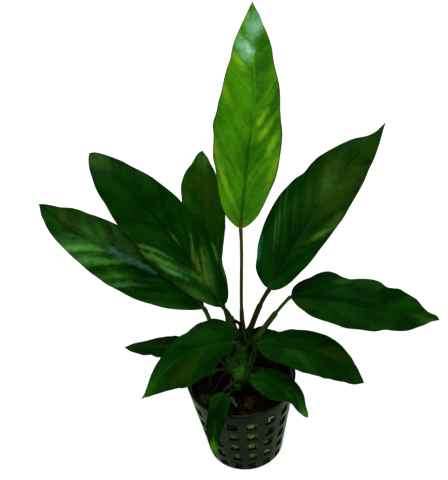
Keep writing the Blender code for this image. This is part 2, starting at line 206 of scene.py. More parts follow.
# How the margins wander: by how many percent the left and the right half are wider than their plain
# outline, at every twentieth of the length from the stalk to the tip.
MARGINS = {
    "tall": (
        (13, 13, 5, 0, -1, 0, 5, 4, 4, 10, 6, 6, 4, 5, 5, 3, 11, 16, 14, 10, 0),
        (5, 5, 0, -2, 0, 4, 5, 4, 4, 3, -2, -3, 1, 3, -2, -4, 4, 8, 7, 20, 0)),
    "upper_right": (
        (12, 12, -1, 0, -1, -1, -2, -2, -1, -1, 0, -3, 4, 9, 8, 5, 3, -3, -38, -58, -40),
        (14, 14, 9, 7, 10, 10, 7, 6, 5, 6, 10, 10, 13, 15, 14, 6, 7, 7, 10, 10, 0)),
    "right": (
        (6, 6, 6, 26, 30, 13, -8, -12, 3, 12, 10, 3, -6, 6, 18, 9, -1, -1, -20, -38, -20),
        (15, 15, 6, 9, 10, 6, -2, -4, 3, 7, 4, 0, -3, -7, 6, 14, 11, 0, 0, -20, -20)),
    "back_left": (
        (0, 0, 0, 0, 0, -2, -3, -1, 2, 3, 0, -2, -3, 0, 6, 8, 7, 3, -12, -13, 0),
        (12, 12, 12, -4, -5, -6, -4, -2, 2, 3, 5, 4, 2, 1, 1, 3, 6, 8, 5, 20, 0)),
    "upper_left": (
        (0, 0, 1, 3, 1, -2, -2, 1, 3, 1, -2, -1, 1, 1, 0, 0, 6, 9, 7, 9, 0),
        (-2, -2, 3, 6, 8, 7, 4, 2, 3, 7, 11, 13, 9, 4, 1, -4, -7, -4, -7, -8, 0)),
    "left": (
        (-3, -3, -1, -1, -1, 3, 5, 4, 3, 3, 0, 0, 0, 3, 6, 10, 14, 18, 20, 30, 0),
        (3, 3, 4, 3, 0, -2, -2, 0, -1, -4, -7, -10, -10, -8, -4, 0, 9, 8, -12, -10, 0)),
    "low_left": (
        (0, 0, 0, 0, 0, -2, -3, -5, -7, -8, -8, -3, -10, 6, 16, 16, 19, 26, 40, 40, 0),
        (10, 10, 12, 15, 18, 20, 20, 19, 18, 7, 4, 0, 2, 0, -8, -18, -26, -30, -34, -34, 0)),
    "front_left": (
        (0, 0, 0, 0, 2, 4, 3, 0, -2, 0, 4, 8, 10, 12, 5, 5, 5, 10, 15, 30, 0),
        (17, 17, 17, 20, 12, 11, 3, -4, 4, 6, 12, 16, 20, 26, 35, 38, 38, 28, 20, 10, 0)),
    "front_right": (
        (30, 30, 22, -8, -5, -2, -9, -9, -7, -3, 3, 10, 12, 11, 6, -4, -7, -13, -5, -15, 0),
        (0, 0, 2, 4, 3, 0, -2, -2, 0, 2, 2, 5, 7, 11, 7, 7, 4, 4, 16, 23, 0)),
    "small_right": (
        (0, 0, 2, 4, 2, -2, -4, -4, -6, -10, -16, -26, -36, -48, -60, -73, -88, -100, -95, -60, -20),
        (0, 0, -2, -3, 0, 3, 3, -1, -6, -12, -15, -13, -5, 5, 16, 28, 38, 46, 56, 70, 40)),
    "small_front": (
        (10, -5, -14, -14, -10, -5, -3, -2, -2, 0, 3, 5, 5, 6, 10, 16, 22, 28, 34, 40, 30),
        (50, 50, 50, 40, 28, 16, 8, 3, 0, 0, 3, 6, 8, 10, 14, 18, 22, 28, 34, 40, 30)),
}

# How far the midrib strays to the right of the middle, in steps from the stalk to the tip.
STRAYS = {
    "tall": (0, 0.2, 0.4, 0.2, 0.3, 0.7, 0.9, -0.4, -1.1, -0.9, 0),
    "upper_right": (0, -0.5, -1.0, -1.4, -1.7, -1.8, -1.8, -1.6, -1.0, -0.3, 0),
    "left": (0, -0.4, -1.0, -1.8, -2.4, -2.7, -2.6, -2.2, -1.5, -0.6, 0),
    "small_right": (0, 0, 0.1, 0.1, 0.2, 0.4, 1.2, 2.5, 3.2, 2.5, 0),
}
PLAIN_STRAY = (0, 0)

# The blades: where they start, their fold, curl and thickness, and the least widths of their halves.
BLADE_START = 0.5
BLADE_GAP = 0.3
BLADE_FOLD = math.radians(8)
BLADE_CURL = 0.22
BLADE_LIFT = 0.3
BLADE_THICKNESS = 0.6
FOOT_HALF = 0.7
TIP_HALF = 0.22
THINNEST = 0.3
EDGE_THINNING = 0.65
MIDRIB_HANDLES = (0.33, 0.70)

# The mesh is finer near the midrib and at both ends, and the ripple of the right margin runs ahead.
COLUMN_CROWD = 1.35
ROW_CROWD = 0.09
RIPPLE_SHIFT = 0.37

# The side veins: their first numbers, so that left and right ones alternate, how far they slant, less
# towards the tip, how they bend and wander, and how long a pattern that follows them is drawn.
LEFT_VEINS = 20
RIGHT_VEINS = 20.43
VEIN_SLANT = 2.2
VEIN_STEEPENS = 1.3
VEIN_BEND = 0.014
VEIN_WANDER = 3.0
FLOW_SQUEEZE = 0.12
PATTERN_STEP = 11.0

# The low relief: the groove over the midrib, the shoulders beside it, and soft dents.
GROOVE_DEPTH = 0.42
GROOVE_HALF = 0.8
SHOULDER_HEIGHT = 0.14
SHOULDER_REACH = 2.0
DENT_DEPTH = 0.45

# The stalks: how fine they are, how far their bends reach, and how their thickness varies.
STALK_STEPS = 36
STALK_SIDES = 20
STALK_HANDLE = 0.35
STALK_FOOT_SWELL = 0.25
STALK_TOP_SWELL = 0.14
STALK_HEART_SWELL = 1.0
CHANNEL_DEPTH = 0.24
SHEATH_LIP = 0.10
STALK_KNOBS = 0.035

# The raised midrib under a blade.
RIB_STEPS = 60
RIB_START = 0.008
RIB_SHARE = 0.965

# Greens of the leaves, as linear colours. The sheens, the glint and the teal, pale, mint, soft and emerald
# greens are painted highlights, the ochre is a painted highlight on upper_left and part of the leaf's own
# colouring on upper_right, and SHADE is painted shade.
DEEP = (0.0005, 0.0205, 0.0003)
SHADE = (0.0010, 0.0105, 0.0010)
DARK = (0.0022, 0.046, 0.0004)
MIDDLE = (0.008, 0.080, 0.002)
FRESH = (0.028, 0.17, 0.001)
LIME = (0.075, 0.32, 0.001)
YELLOW = (0.28, 0.60, 0.012)
PAINTED_TEAL_SHEEN = (0.030, 0.24, 0.065)
PAINTED_PALE_SHEEN = (0.045, 0.26, 0.050)
PAINTED_SHEEN = (0.26, 0.60, 0.34)
PAINTED_BLUISH_SHEEN = (0.080, 0.29, 0.165)
PAINTED_SOFT_SHEEN = (0.052, 0.17, 0.020)
PAINTED_MINT_SHEEN = (0.078, 0.31, 0.070)
PAINTED_EMERALD_SHEEN = (0.055, 0.27, 0.020)
OCHRE_AND_PAINTED_SHEEN = (0.080, 0.150, 0.010)
PAINTED_GLINT = (0.36, 0.80, 0.46)
SPRING = (0.12, 0.40, 0.012)
KHAKI = (0.024, 0.062, 0.002)
OLIVE = (0.014, 0.072, 0.002)
BROWN = (0.045, 0.024, 0.006)
MAROON = (0.012, 0.004, 0.002)

# How each upper face looks: its two main greens, its midrib near the stalk and near the tip, and patches
# given by place along and across, millimetres long up the veins and wide, strength and colour. Patches in the
# sheen, glint, teal, pale, mint, soft, emerald and, on upper_left, ochre colours are painted highlights, and
# the one in SHADE is painted shade. rim is how brown the margin is, quilt how strongly painted shade at the
# side veins and a painted highlight just past each one mark the blade, and grain how strong the fine streaks
# are.
PLAIN_LOOK = dict(rim=0.25, gloss=0.42, shine=0.12, vein_light_and_shade=0.2, grain=0.4)
LEAF_COLOURS = {
    "tall": dict(
        PLAIN_LOOK, rim=0.8, greens=(FRESH, LIME), rib=(MIDDLE, SPRING), gloss=0.36, shine=0.28,
        vein_light_and_shade=0.12, grain=0.35,
        patches=((0.6, -0.35, 6, 14, 0.45, LIME), (0.4, -0.6, 6, 14, 0.45, LIME),
        (0.78, -0.4, 8, 12, 0.75, LIME), (0.25, 0.0, 3.5, 16, 0.55, FRESH),
        (0.72, 0.45, 7, 14, 0.55, MIDDLE), (0.6, 0.85, 4, 9, 0.6, MIDDLE), (0.6, 0.2, 4, 6, 0.4, MIDDLE),
        (0.36, -0.15, 5, 9, 0.35, MIDDLE), (0.1, 0.75, 5, 7, 0.5, FRESH),
        (0.32, -0.88, 5, 6, 0.5, YELLOW), (0.22, -0.76, 5, 4, 0.55, YELLOW),
        (0.14, -0.5, 4, 4, 0.35, YELLOW), (0.5, 0.3, 3, 3.5, 0.85, YELLOW),
        (0.45, 0.45, 3, 4, 0.8, YELLOW), (0.4, 0.72, 3, 5, 0.8, YELLOW), (0.3, 0.85, 3, 6, 0.5, YELLOW),
        (0.22, 0.85, 3, 4, 0.4, YELLOW), (0.735, -0.6, 4, 4, 0.75, YELLOW),
        (0.78, -0.25, 4, 6, 0.45, YELLOW), (0.6, -0.9, 3, 7, 0.35, YELLOW),
        (0.93, -0.8, 3, 7, 0.6, YELLOW), (0.82, 0.45, 5, 6, 0.6, MIDDLE),
        (0.79, -0.46, 4, 6, 1.0, PAINTED_SHEEN), (0.795, -0.22, 3, 4, 1.0, PAINTED_GLINT),
        (0.89, 0.36, 5.5, 6, 1.0, PAINTED_SHEEN), (0.92, 0.08, 2.5, 5.5, 0.8, PAINTED_SHEEN),
        (0.88, -0.3, 2, 5, 0.4, PAINTED_SHEEN))),
    "upper_right": dict(
        PLAIN_LOOK, greens=(DEEP, DARK), rib=(DEEP, KHAKI), gloss=0.36, shine=0.15, vein_light_and_shade=0.25,
        grain=0.5,
        patches=((0.62, -0.45, 9, 14, 0.7, KHAKI), (0.6, 0.4, 7, 16, 0.9, KHAKI),
        (0.64, 0.0, 8, 10, 0.8, KHAKI), (0.48, -0.45, 8, 4, 0.7, KHAKI), (0.4, -0.5, 8, 2.5, 0.5, KHAKI),
        (0.5, 0.5, 6, 7, 0.6, KHAKI), (0.85, 0.1, 8, 12, 0.5, KHAKI), (0.46, 0.85, 4, 6, 0.6, OCHRE_AND_PAINTED_SHEEN),
        (0.58, -0.18, 6, 9, 0.45, PAINTED_SOFT_SHEEN), (0.28, 0.2, 8, 12, 0.9, DEEP), (0.14, 0.0, 8, 12, 0.8, DEEP),
        (0.375, 0.74, 4, 4, 1.0, PAINTED_SOFT_SHEEN), (0.33, -0.72, 7, 2.2, 0.42, PAINTED_PALE_SHEEN),
        (0.265, -0.62, 5, 1.8, 0.45, PAINTED_PALE_SHEEN), (0.4, -0.8, 6, 2.4, 0.35, PAINTED_PALE_SHEEN),
        (0.29, -0.44, 6, 1.6, 0.8, DEEP), (0.14, -0.92, 3.5, 5, 0.7, PAINTED_TEAL_SHEEN),
        (0.97, 0.3, 3, 5, 0.8, DARK))),
    "right": dict(
        PLAIN_LOOK, greens=(DEEP, DARK), rib=(DEEP, DARK), gloss=0.45, vein_light_and_shade=0.15,
        patches=((0.45, -0.85, 5, 22, 0.7, MIDDLE), (0.8, -0.6, 5, 9, 0.7, MIDDLE),
        (0.92, 0.2, 6, 9, 0.8, OLIVE), (0.33, -0.85, 3, 6, 0.5, FRESH), (0.6, 0.85, 4, 14, 0.5, MIDDLE),
        (0.07, 0.6, 4, 6, 0.5, KHAKI), (0.93, 0.7, 3, 6, 0.5, PAINTED_SOFT_SHEEN))),
    "back_left": dict(
        PLAIN_LOOK, greens=(DARK, OLIVE), rib=(DARK, OLIVE), gloss=0.45, vein_light_and_shade=0.15,
        patches=((0.7, 0.05, 6, 14, 0.7, KHAKI), (0.6, -0.85, 4, 16, 0.8, OLIVE),
        (0.62, 0.85, 4, 14, 0.8, OLIVE), (0.93, 0.0, 4, 8, 0.9, PAINTED_SOFT_SHEEN), (0.45, -0.1, 4, 10, 0.7, DARK))),
    "upper_left": dict(
        PLAIN_LOOK, greens=(DEEP, DARK), rib=(DEEP, DEEP), gloss=0.36, shine=0.13, vein_light_and_shade=0.15, grain=0.5,
        patches=((0.93, 0.0, 7, 9, 0.55, PAINTED_SOFT_SHEEN), (0.72, -0.3, 6, 14, 0.5, DARK),
        (0.72, 0.85, 5, 10, 0.5, OLIVE), (0.33, -0.74, 6, 7, 0.7, PAINTED_SOFT_SHEEN), (0.11, -0.8, 5, 6, 0.7, PAINTED_SOFT_SHEEN),
        (0.4, -0.64, 4, 2.2, 0.8, PAINTED_MINT_SHEEN), (0.445, -0.82, 3, 2.2, 0.9, PAINTED_SOFT_SHEEN),
        (0.355, -0.76, 5, 2.8, 0.9, PAINTED_EMERALD_SHEEN), (0.28, -0.76, 4, 2.2, 0.9, PAINTED_MINT_SHEEN),
        (0.43, -0.74, 2.5, 1.8, 0.7, OCHRE_AND_PAINTED_SHEEN), (0.405, -0.93, 2.5, 2.2, 0.8, OCHRE_AND_PAINTED_SHEEN),
        (0.31, -0.5, 3, 1.6, 0.8, DARK), (0.39, 0.02, 0.8, 5, 0.7, PAINTED_SOFT_SHEEN),
        (0.33, 0.38, 3.5, 1.8, 0.8, PAINTED_SOFT_SHEEN), (0.18, -0.15, 4, 4, 0.6, PAINTED_SOFT_SHEEN), (0.19, 0.35, 7, 7, 0.5, PAINTED_SOFT_SHEEN),
        (0.225, 0.08, 3, 3, 0.9, OCHRE_AND_PAINTED_SHEEN), (0.25, 0.4, 3.5, 2.5, 0.8, OCHRE_AND_PAINTED_SHEEN),
        (0.17, 0.13, 3, 3, 0.9, OCHRE_AND_PAINTED_SHEEN), (0.28, 0.15, 3, 2, 0.7, OCHRE_AND_PAINTED_SHEEN), (0.24, 0.93, 3, 3.2, 1.0, PAINTED_SOFT_SHEEN),
        (0.15, 0.95, 3, 2.6, 0.9, PAINTED_SOFT_SHEEN), (0.17, 0.62, 3, 2, 0.7, DEEP), (0.09, 0.38, 4, 4, 1.0, DEEP))),
    "left": dict(
        PLAIN_LOOK, greens=(DEEP, MIDDLE), rib=(DEEP, DARK), gloss=0.3, shine=0.24, vein_light_and_shade=0.6,
        grain=0.45,
        patches=((0.82, 0.45, 7, 16, 0.7, KHAKI), (0.66, 0.6, 6, 12, 0.6, KHAKI),
        (0.94, 0.0, 5, 8, 0.6, DARK), (0.07, 0.0, 8, 9, 0.8, MIDDLE), (0.6, -0.6, 9, 12, 0.55, FRESH),
        (0.62, -0.15, 6, 8, 0.6, PAINTED_SOFT_SHEEN), (0.665, -0.6, 7, 4.5, 1.0, PAINTED_MINT_SHEEN), (0.6, -0.8, 4, 4, 0.9, PAINTED_MINT_SHEEN),
        (0.58, -0.22, 4, 3.5, 0.9, PAINTED_EMERALD_SHEEN), (0.515, -0.5, 7, 3.2, 0.8, PAINTED_EMERALD_SHEEN),
        (0.45, -0.72, 6, 4.0, 0.5, FRESH), (0.36, -0.74, 6, 3.6, 0.65, PAINTED_MINT_SHEEN),
        (0.42, -0.66, 5, 2.0, 0.4, PAINTED_EMERALD_SHEEN), (0.46, 0.28, 4.0, 9, 0.8, PAINTED_SOFT_SHEEN),
        (0.5, 0.01, 2.6, 5, 0.9, PAINTED_BLUISH_SHEEN), (0.43, -0.02, 2.8, 6, 1.0, PAINTED_BLUISH_SHEEN),
        (0.36, 0.0, 2.2, 6, 0.9, PAINTED_BLUISH_SHEEN), (0.3, 0.01, 1.8, 4, 0.7, PAINTED_BLUISH_SHEEN),
        (0.22, 0.35, 5, 8, 0.7, MIDDLE), (0.6, 0.35, 6, 3.2, 0.55, FRESH),
        (0.16, -0.75, 6, 9, 0.6, MIDDLE), (0.74, -0.75, 4, 5, 0.7, FRESH))),
    "low_left": dict(
        PLAIN_LOOK, greens=(DEEP, DARK), rib=(DARK, DARK), vein_light_and_shade=0.15,
        patches=((0.9, -0.3, 4, 8, 0.7, KHAKI), (0.6, 0.4, 3, 8, 0.4, BROWN))),
    "front_left": dict(
        PLAIN_LOOK, greens=(DEEP, DARK), rib=(DARK, MIDDLE),
        patches=((0.55, -0.5, 6, 14, 0.6, KHAKI), (0.75, 0.3, 6, 10, 0.7, MIDDLE),
        (0.9, 0.0, 6, 7, 0.7, FRESH), (0.25, 0.5, 5, 10, 0.5, MIDDLE))),
    "front_right": dict(
        PLAIN_LOOK, greens=(DEEP, DARK), rib=(DARK, DARK), shine=0.13,
        patches=((0.4, 0.55, 6, 8, 0.6, MIDDLE), (0.65, -0.3, 6, 11, 0.6, KHAKI),
        (0.92, 0.2, 5, 7, 0.6, MIDDLE))),
    "small_right": dict(
        PLAIN_LOOK, greens=(DEEP, DARK), rib=(DARK, MIDDLE),
        patches=((0.45, 0.35, 4, 5, 0.8, MIDDLE), (0.65, 0.1, 4, 6, 0.8, MIDDLE),
        (0.8, 0.4, 4, 4, 0.8, FRESH), (0.92, 0.2, 4, 5, 0.9, LIME), (0.96, 0.4, 1.6, 1.6, 0.9, BROWN))),
    "small_front": dict(
        PLAIN_LOOK, greens=(DEEP, DARK), rib=(DARK, MIDDLE), vein_light_and_shade=0.1,
        patches=((0.8, 0.1, 4, 5, 0.9, FRESH), (0.88, -0.1, 3, 3, 0.6, LIME),
        (0.42, 0.1, 1.5, 1.8, 0.9, BROWN), (0.22, 0.0, 8, 9, 1.0, SHADE))),
}

# The waxy skin throws back light with a green cast.
GREEN_GLOSS = (0.25, 1.0, 0.20)
STALK_GLOSS = (0.75, 1.0, 0.45)

# Stalks: colour at the foot and at the top, and the share of the length that the sheath wraps.
STALK_COLOURS = {
    "tall": ((0.050, 0.035, 0.008), (0.075, 0.055, 0.012), 0.16),
    "upper_right": ((0.024, 0.032, 0.003), (0.014, 0.030, 0.003), 0.62),
    "right": ((0.036, 0.075, 0.005), (0.018, 0.070, 0.004), 0.60),
    "back_left": ((0.02, 0.05, 0.006), (0.02, 0.06, 0.006), 0.25),
    "upper_left": ((0.050, 0.075, 0.018), (0.008, 0.040, 0.002), 0.55),
    "left": ((0.035, 0.100, 0.016), (0.030, 0.095, 0.012), 0.2),
    "small_front": ((0.002, 0.006, 0.001), (0.004, 0.016, 0.002), 0.2),
}
PLAIN_STALK = ((0.006, 0.028, 0.002), (0.008, 0.045, 0.002), 0.3)

# Where the upper stalks all spring from, inside the growing tip of the creeping stem. Stalks that start
# no higher than a little over it have a short straight foot.
HEART = (1.8, 7.0, 66.5)
HEART_STEPS = 8
HEART_RISE = 2
SHORT_FOOT = 2.5
FOOT_HANDLE = 0.4


# Shader sums and finishes.


class Value:
    """What a node gives out. A sum written with it adds Math nodes to the same finish."""

    def __init__(self, finish, socket):
        self.finish = finish
        self.socket = socket

    def sum(self, operation, *terms):
        return self.finish.node("ShaderNodeMath", {"operation": operation}, dict(enumerate(terms)))

    def __add__(self, other):
        return self.sum("ADD", self, other)

    def __radd__(self, other):
        return self.sum("ADD", other, self)

    def __sub__(self, other):
        return self.sum("SUBTRACT", self, other)

    def __rsub__(self, other):
        return self.sum("SUBTRACT", other, self)

    def __mul__(self, other):
        return self.sum("MULTIPLY", self, other)

    def __rmul__(self, other):
        return self.sum("MULTIPLY", other, self)

    def __truediv__(self, other):
        return self.sum("DIVIDE", self, other)

    def __pow__(self, other):
        return self.sum("POWER", self, other)

    def __abs__(self):
        return self.sum("ABSOLUTE", self)


class Finish:
    """A material whose nodes are added one call at a time."""

    def __init__(self, name):
        self.material = bpy.data.materials.new(name)
        self.material.use_nodes = True
        self.tree = self.material.node_tree
        self.shader = self.tree.nodes["Principled BSDF"]

    def node(self, kind, settings=None, inputs=None, output=0):
        made = self.tree.nodes.new(kind)
        for key, setting in (settings or {}).items():
            setattr(made, key, setting)
        for key, value in (inputs or {}).items():
            self.plug(made.inputs[key], value)
        return Value(self, made.outputs[output])

    def plug(self, socket, value):
        if isinstance(value, Value):
            self.tree.links.new(value.socket, socket)
        elif isinstance(value, tuple) and len(value) == 3 and len(socket.default_value) == 4:
            socket.default_value = (*value, 1)
        else:
            socket.default_value = value

    def wear(self, **inputs):
        """Sets or links the shader's own sockets, named with underscores for spaces."""
        for key, value in inputs.items():
            self.plug(self.shader.inputs[key.replace("_", " ")], value)
        return self.material

    def place(self):
        return self.node("ShaderNodeTexCoord", output="Object")

    def told(self, attribute):
        return self.node("ShaderNodeAttribute", {"attribute_name": attribute}, output="Vector")

    def parts(self, vector):
        split = self.node("ShaderNodeSeparateXYZ", inputs={"Vector": vector})
        return [Value(self, socket) for socket in split.socket.node.outputs]

    def scaled(self, vector, scale):
        return self.node("ShaderNodeVectorMath", {"operation": "MULTIPLY"}, {0: vector, 1: scale})

    def noise(self, vector, scale, detail=2.0, roughness=0.5, distortion=0.0):
        return self.node("ShaderNodeTexNoise", inputs={
            "Vector": vector, "Scale": scale, "Detail": detail,
            "Roughness": roughness, "Distortion": distortion})

    def cells(self, vector, scale):
        return self.node("ShaderNodeTexVoronoi", inputs={"Vector": vector, "Scale": scale})

    def step(self, value, low, high):
        """0 below low, 1 above high, and smooth between them. It falls where low is above high."""
        return self.node("ShaderNodeMapRange", {"interpolation_type": "SMOOTHSTEP"},
                         {"Value": value, "From Min": low, "From Max": high})

    def mix(self, factor, first, second, blend="MIX"):
        return self.node("ShaderNodeMix", {"data_type": "RGBA", "blend_type": blend},
                         {0: factor, 6: first, 7: second}, output=2)

    def two_tone(self, value, low, high, first, second):
        """The first colour where value is low, running into the second where it is high."""
        return self.mix(self.step(value, low, high), first, second)

    def laid(self, colour, over, strength, value, low, high):
        """The colour with another laid over it, from nothing at low to strength at high."""
        return self.mix(self.step(value, low, high) * strength, colour, over)

    def tinted(self, colour, tint):
        return self.mix(1.0, colour, tint, "MULTIPLY")

    def bump(self, height, strength, distance):
        return self.node("ShaderNodeBump", inputs={
            "Height": height, "Strength": strength, "Distance": distance * MM}, output="Normal")


# Modelling helpers.


def deselect():
    if bpy.context.object and bpy.context.object.mode != "OBJECT":
        bpy.ops.object.mode_set(mode="OBJECT")
    bpy.ops.object.select_all(action="DESELECT")


def only(piece):
    deselect()
    piece.select_set(True)
    bpy.context.view_layer.objects.active = piece


def new_grid(name, columns, rows):
    """A square sheet from -1 to 1 both ways, for bending into shape."""
    deselect()
    bpy.ops.mesh.primitive_grid_add(x_subdivisions=columns, y_subdivisions=rows, size=2)
    piece = bpy.context.object
    piece.name = piece.data.name = name
    return piece


def merge_close(piece, distance):
    only(piece)
    bpy.ops.object.mode_set(mode="EDIT")
    bpy.ops.mesh.select_all(action="SELECT")
    bpy.ops.mesh.remove_doubles(threshold=distance * MM)
    bpy.ops.object.mode_set(mode="OBJECT")


def cut_through(piece, places, normal):
    """Cuts a flat piece right across at places along the normal."""
    only(piece)
    bpy.ops.object.mode_set(mode="EDIT")
    for place in places:
        bpy.ops.mesh.select_all(action="SELECT")
        bpy.ops.mesh.bisect(plane_co=[part * place * MM for part in normal], plane_no=normal)
    bpy.ops.object.mode_set(mode="OBJECT")


def apply_modifier(piece, kind, **settings):
    only(piece)
    modifier = piece.modifiers.new(kind.title(), kind)
    for key, setting in settings.items():
        setattr(modifier, key, setting)
    bpy.ops.object.modifier_apply(modifier=modifier.name)


def smooth(piece, degrees=180):
    only(piece)
    if degrees >= 180:
        bpy.ops.object.shade_smooth()
    else:
        bpy.ops.object.shade_smooth_by_angle(angle=math.radians(degrees))


def tell(piece, name, vectors):
    """Keeps a vector for each point of a piece, for its finish to read."""
    attribute = piece.data.attributes.new(name, "FLOAT_VECTOR", "POINT")
    attribute.data.foreach_set("vector", [number for vector in vectors for number in vector])


def join(name, pieces):
    deselect()
    for piece in pieces:
        piece.select_set(True)
    bpy.context.view_layer.objects.active = pieces[0]
    bpy.ops.object.join()
    pieces[0].name = pieces[0].data.name = name
    return pieces[0]


def dress(piece, finishes, slot, *nodes):
    """Gives a piece its finishes, puts it on the plant and lets it stand for its CAD nodes."""
    for finish in finishes:
        if finish.name not in piece.data.materials:
            piece.data.materials.append(finish)
    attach(piece, "root")
    if nodes:
        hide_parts(*nodes)
    return piece


def clamp(value, low=0.0, high=1.0):
    return max(low, min(high, value))


def ease(value, low, high):
    share = clamp((value - low) / (high - low))
    return share * share * (3 - 2 * share)


def along_points(points, share):
    """Place on the smooth curve through the points, with share running from 0 to 1."""
    places = [Vector(point) for point in points]
    spans = len(places) - 1
    span = min(int(share * spans), spans - 1)
    part = share * spans - span
    start, end = places[span], places[span + 1]
    before, after = places[max(span - 1, 0)], places[min(span + 2, spans)]
    bend = 2 * before - 5 * start + 4 * end - after
    turn = 3 * start - before - 3 * end + after
    return 0.5 * (2 * start + (end - before) * part + bend * part**2 + turn * part**3)


def along_values(values, share):
    return along_points([(value, 0, 0) for value in values], share).x


def on_curve(t, start, first, second, end):
    """Place on the curve that leaves start towards first and comes into end from second."""
    rest = 1 - t
    return rest**3 * start + 3 * t * rest**2 * first + 3 * t**2 * rest * second + t**3 * end


def around(angle, radius):
    """Place on a circle about the pot's middle, with angle 0 towards the viewer."""
    return radius * math.sin(angle), -radius * math.cos(angle)


def copy_of(model):
    copied = model.copy()
    copied.data = model.data.copy()
    bpy.context.collection.objects.link(copied)
    return copied


def rings_along(line, reference):
    """The place, right and upper directions of the rings on a line."""
    rings = []
    for number, place in enumerate(line):
        heading = (line[min(number + 1, len(line) - 1)] - line[max(number - 1, 0)]).normalized()
        right = (reference - heading * reference.dot(heading)).normalized()
        rings.append((place, right, right.cross(heading)))
    return rings


def tube(name, line, radius, sides, reference):
    """A tube closed at both ends. radius takes the share of the length and the angle from above."""
    steps = len(line) - 1
    rings = rings_along(line, reference)
    piece = new_grid(name, sides, steps + 2)
    for vert in piece.data.vertices:
        row = round((vert.co.y + 1) / 2 * (steps + 2))
        number = clamp(row - 1, 0, steps)
        place, right, upper = rings[number]
        angle = (vert.co.x + 1) * math.pi
        reach = 0.0 if row in (0, steps + 2) else radius(number / steps, angle)
        vert.co = (place + (right * math.sin(angle) + upper * math.cos(angle)) * reach) * MM
    merge_close(piece, MERGE)
    smooth(piece)
    return piece


# The leaves.


def leaf_axes(leaf):
    """Along the leaf, out of its upper face, and to its right."""
    along = (Vector(leaf["tip"]) - Vector(leaf["base"])).normalized()
    up = Vector((0, 0, 1))
    face = (up - along * up.dot(along)).normalized()
    side = along.cross(face)
    turn = math.radians(leaf["roll"])
    return along, face * math.cos(turn) + side * math.sin(turn), side * math.cos(turn) - face * math.sin(turn)


def leaf_length(leaf):
    return (Vector(leaf["tip"]) - Vector(leaf["base"])).length


def midrib(leaf, t):
    """Place, upward and rightward directions on the blade's centre line."""
    along, face, side = leaf_axes(leaf)
    base, tip = Vector(leaf["base"]), Vector(leaf["tip"])
    length = (tip - base).length
    lift = face * leaf["arch"] * 4 / 3
    near, far = MIDRIB_HANDLES
    first = base + along * length * near + lift + side * (leaf["sway"] * 4 / 3 - leaf["bend"])
    second = base + along * length * far + lift + side * (leaf["sway"] * 4 / 3 + leaf["bend"])
    rest = 1 - t
    heading = 3 * rest**2 * (first - base) + 6 * t * rest * (second - first) + 3 * t**2 * (tip - second)
    heading = heading.normalized()
    normal = (face - heading * face.dot(heading)).normalized()
    right = heading.cross(normal)
    return on_curve(t, base, first, second, tip) + right * stray(leaf, t), normal, right


def stray(leaf, t):
    return along_values(STRAYS.get(leaf["name"], PLAIN_STRAY), t)


def half_width(leaf, half, t):
    """Width of one half of a blade. It is full near the middle and narrow at both ends."""
    widest, at_stalk, at_tip = leaf[half]
    total = at_stalk + at_tip
    peak = (at_stalk / total) ** at_stalk * (at_tip / total) ** at_tip
    wander = MARGINS[leaf["name"]][half == "right"]
    margin = along_values([100 + percent for percent in wander], t) / 100
    width = widest * t**at_stalk * (1 - t) ** at_tip / peak * margin
    width += -stray(leaf, t) if half == "right" else stray(leaf, t)
    return max(width, FOOT_HALF if t < 0.5 else TIP_HALF)


def vein_course(leaf, t, reach, across):
    """How far up the midrib the side vein through a place leaves it. Veins bend towards the tip."""
    length = leaf_length(leaf)
    slant = VEIN_SLANT - VEIN_STEEPENS * t**0.6
    seed = 7.3 * len(leaf["name"]) + (3.1 if across > 0 else 0)
    wander = VEIN_WANDER * noise.noise(Vector((reach * 0.06, t * length * 0.035, seed)))
    return t * length - slant * reach - VEIN_BEND * reach**2 + wander


def blade_relief(leaf, t, reach, across, phase):
    """Height of the fine relief: swellings between veins, the sunken midrib, and soft dents."""
    swell = leaf["veins"][1]
    strength = 0.55 + 0.9 * noise.noise(Vector((math.floor(phase) * 3.3, len(leaf["name"]), across)))
    between = strength * (math.sin(math.pi * (phase % 1)) ** 0.9 - 0.6)
    mask = ease(reach, 0.8, 5.0) * (1 - ease(abs(across), 0.82, 1.0)) * ease(t, 0.0, 0.08)
    mask *= 1 - ease(t, 0.9, 1.0)
    groove = math.exp(-((reach / GROOVE_HALF) ** 2)) * GROOVE_DEPTH * (1 - 0.6 * t) * ease(t, 0.0, 0.05)
    shoulder = SHOULDER_HEIGHT * math.exp(-((reach - SHOULDER_REACH) ** 2)) * (1 - t)
    y = t * leaf_length(leaf)
    dents = noise.noise(Vector((reach * 0.09 * math.copysign(1, across), y * 0.06, len(leaf["name"]) * 1.7)))
    return swell * between * mask - groove + shoulder + DENT_DEPTH * dents * min(1, reach / 6)


def leaf_slot(leaf):
    return "bright_leaf" if leaf["name"] == "tall" else "dark_leaf"


def blade_ribs(leaf, rows):
    """For each row of a blade, how far along it is, its midrib and the widths of its halves."""
    start = BLADE_START / leaf_length(leaf)
    ribs = []
    for row in range(rows + 1):
        along = row / rows
        eased = along - ROW_CROWD * math.sin(math.tau * along)
        t = start + eased * (1 - start)
        ribs.append((t, *midrib(leaf, t), half_width(leaf, "left", t), half_width(leaf, "right", t)))
    return ribs


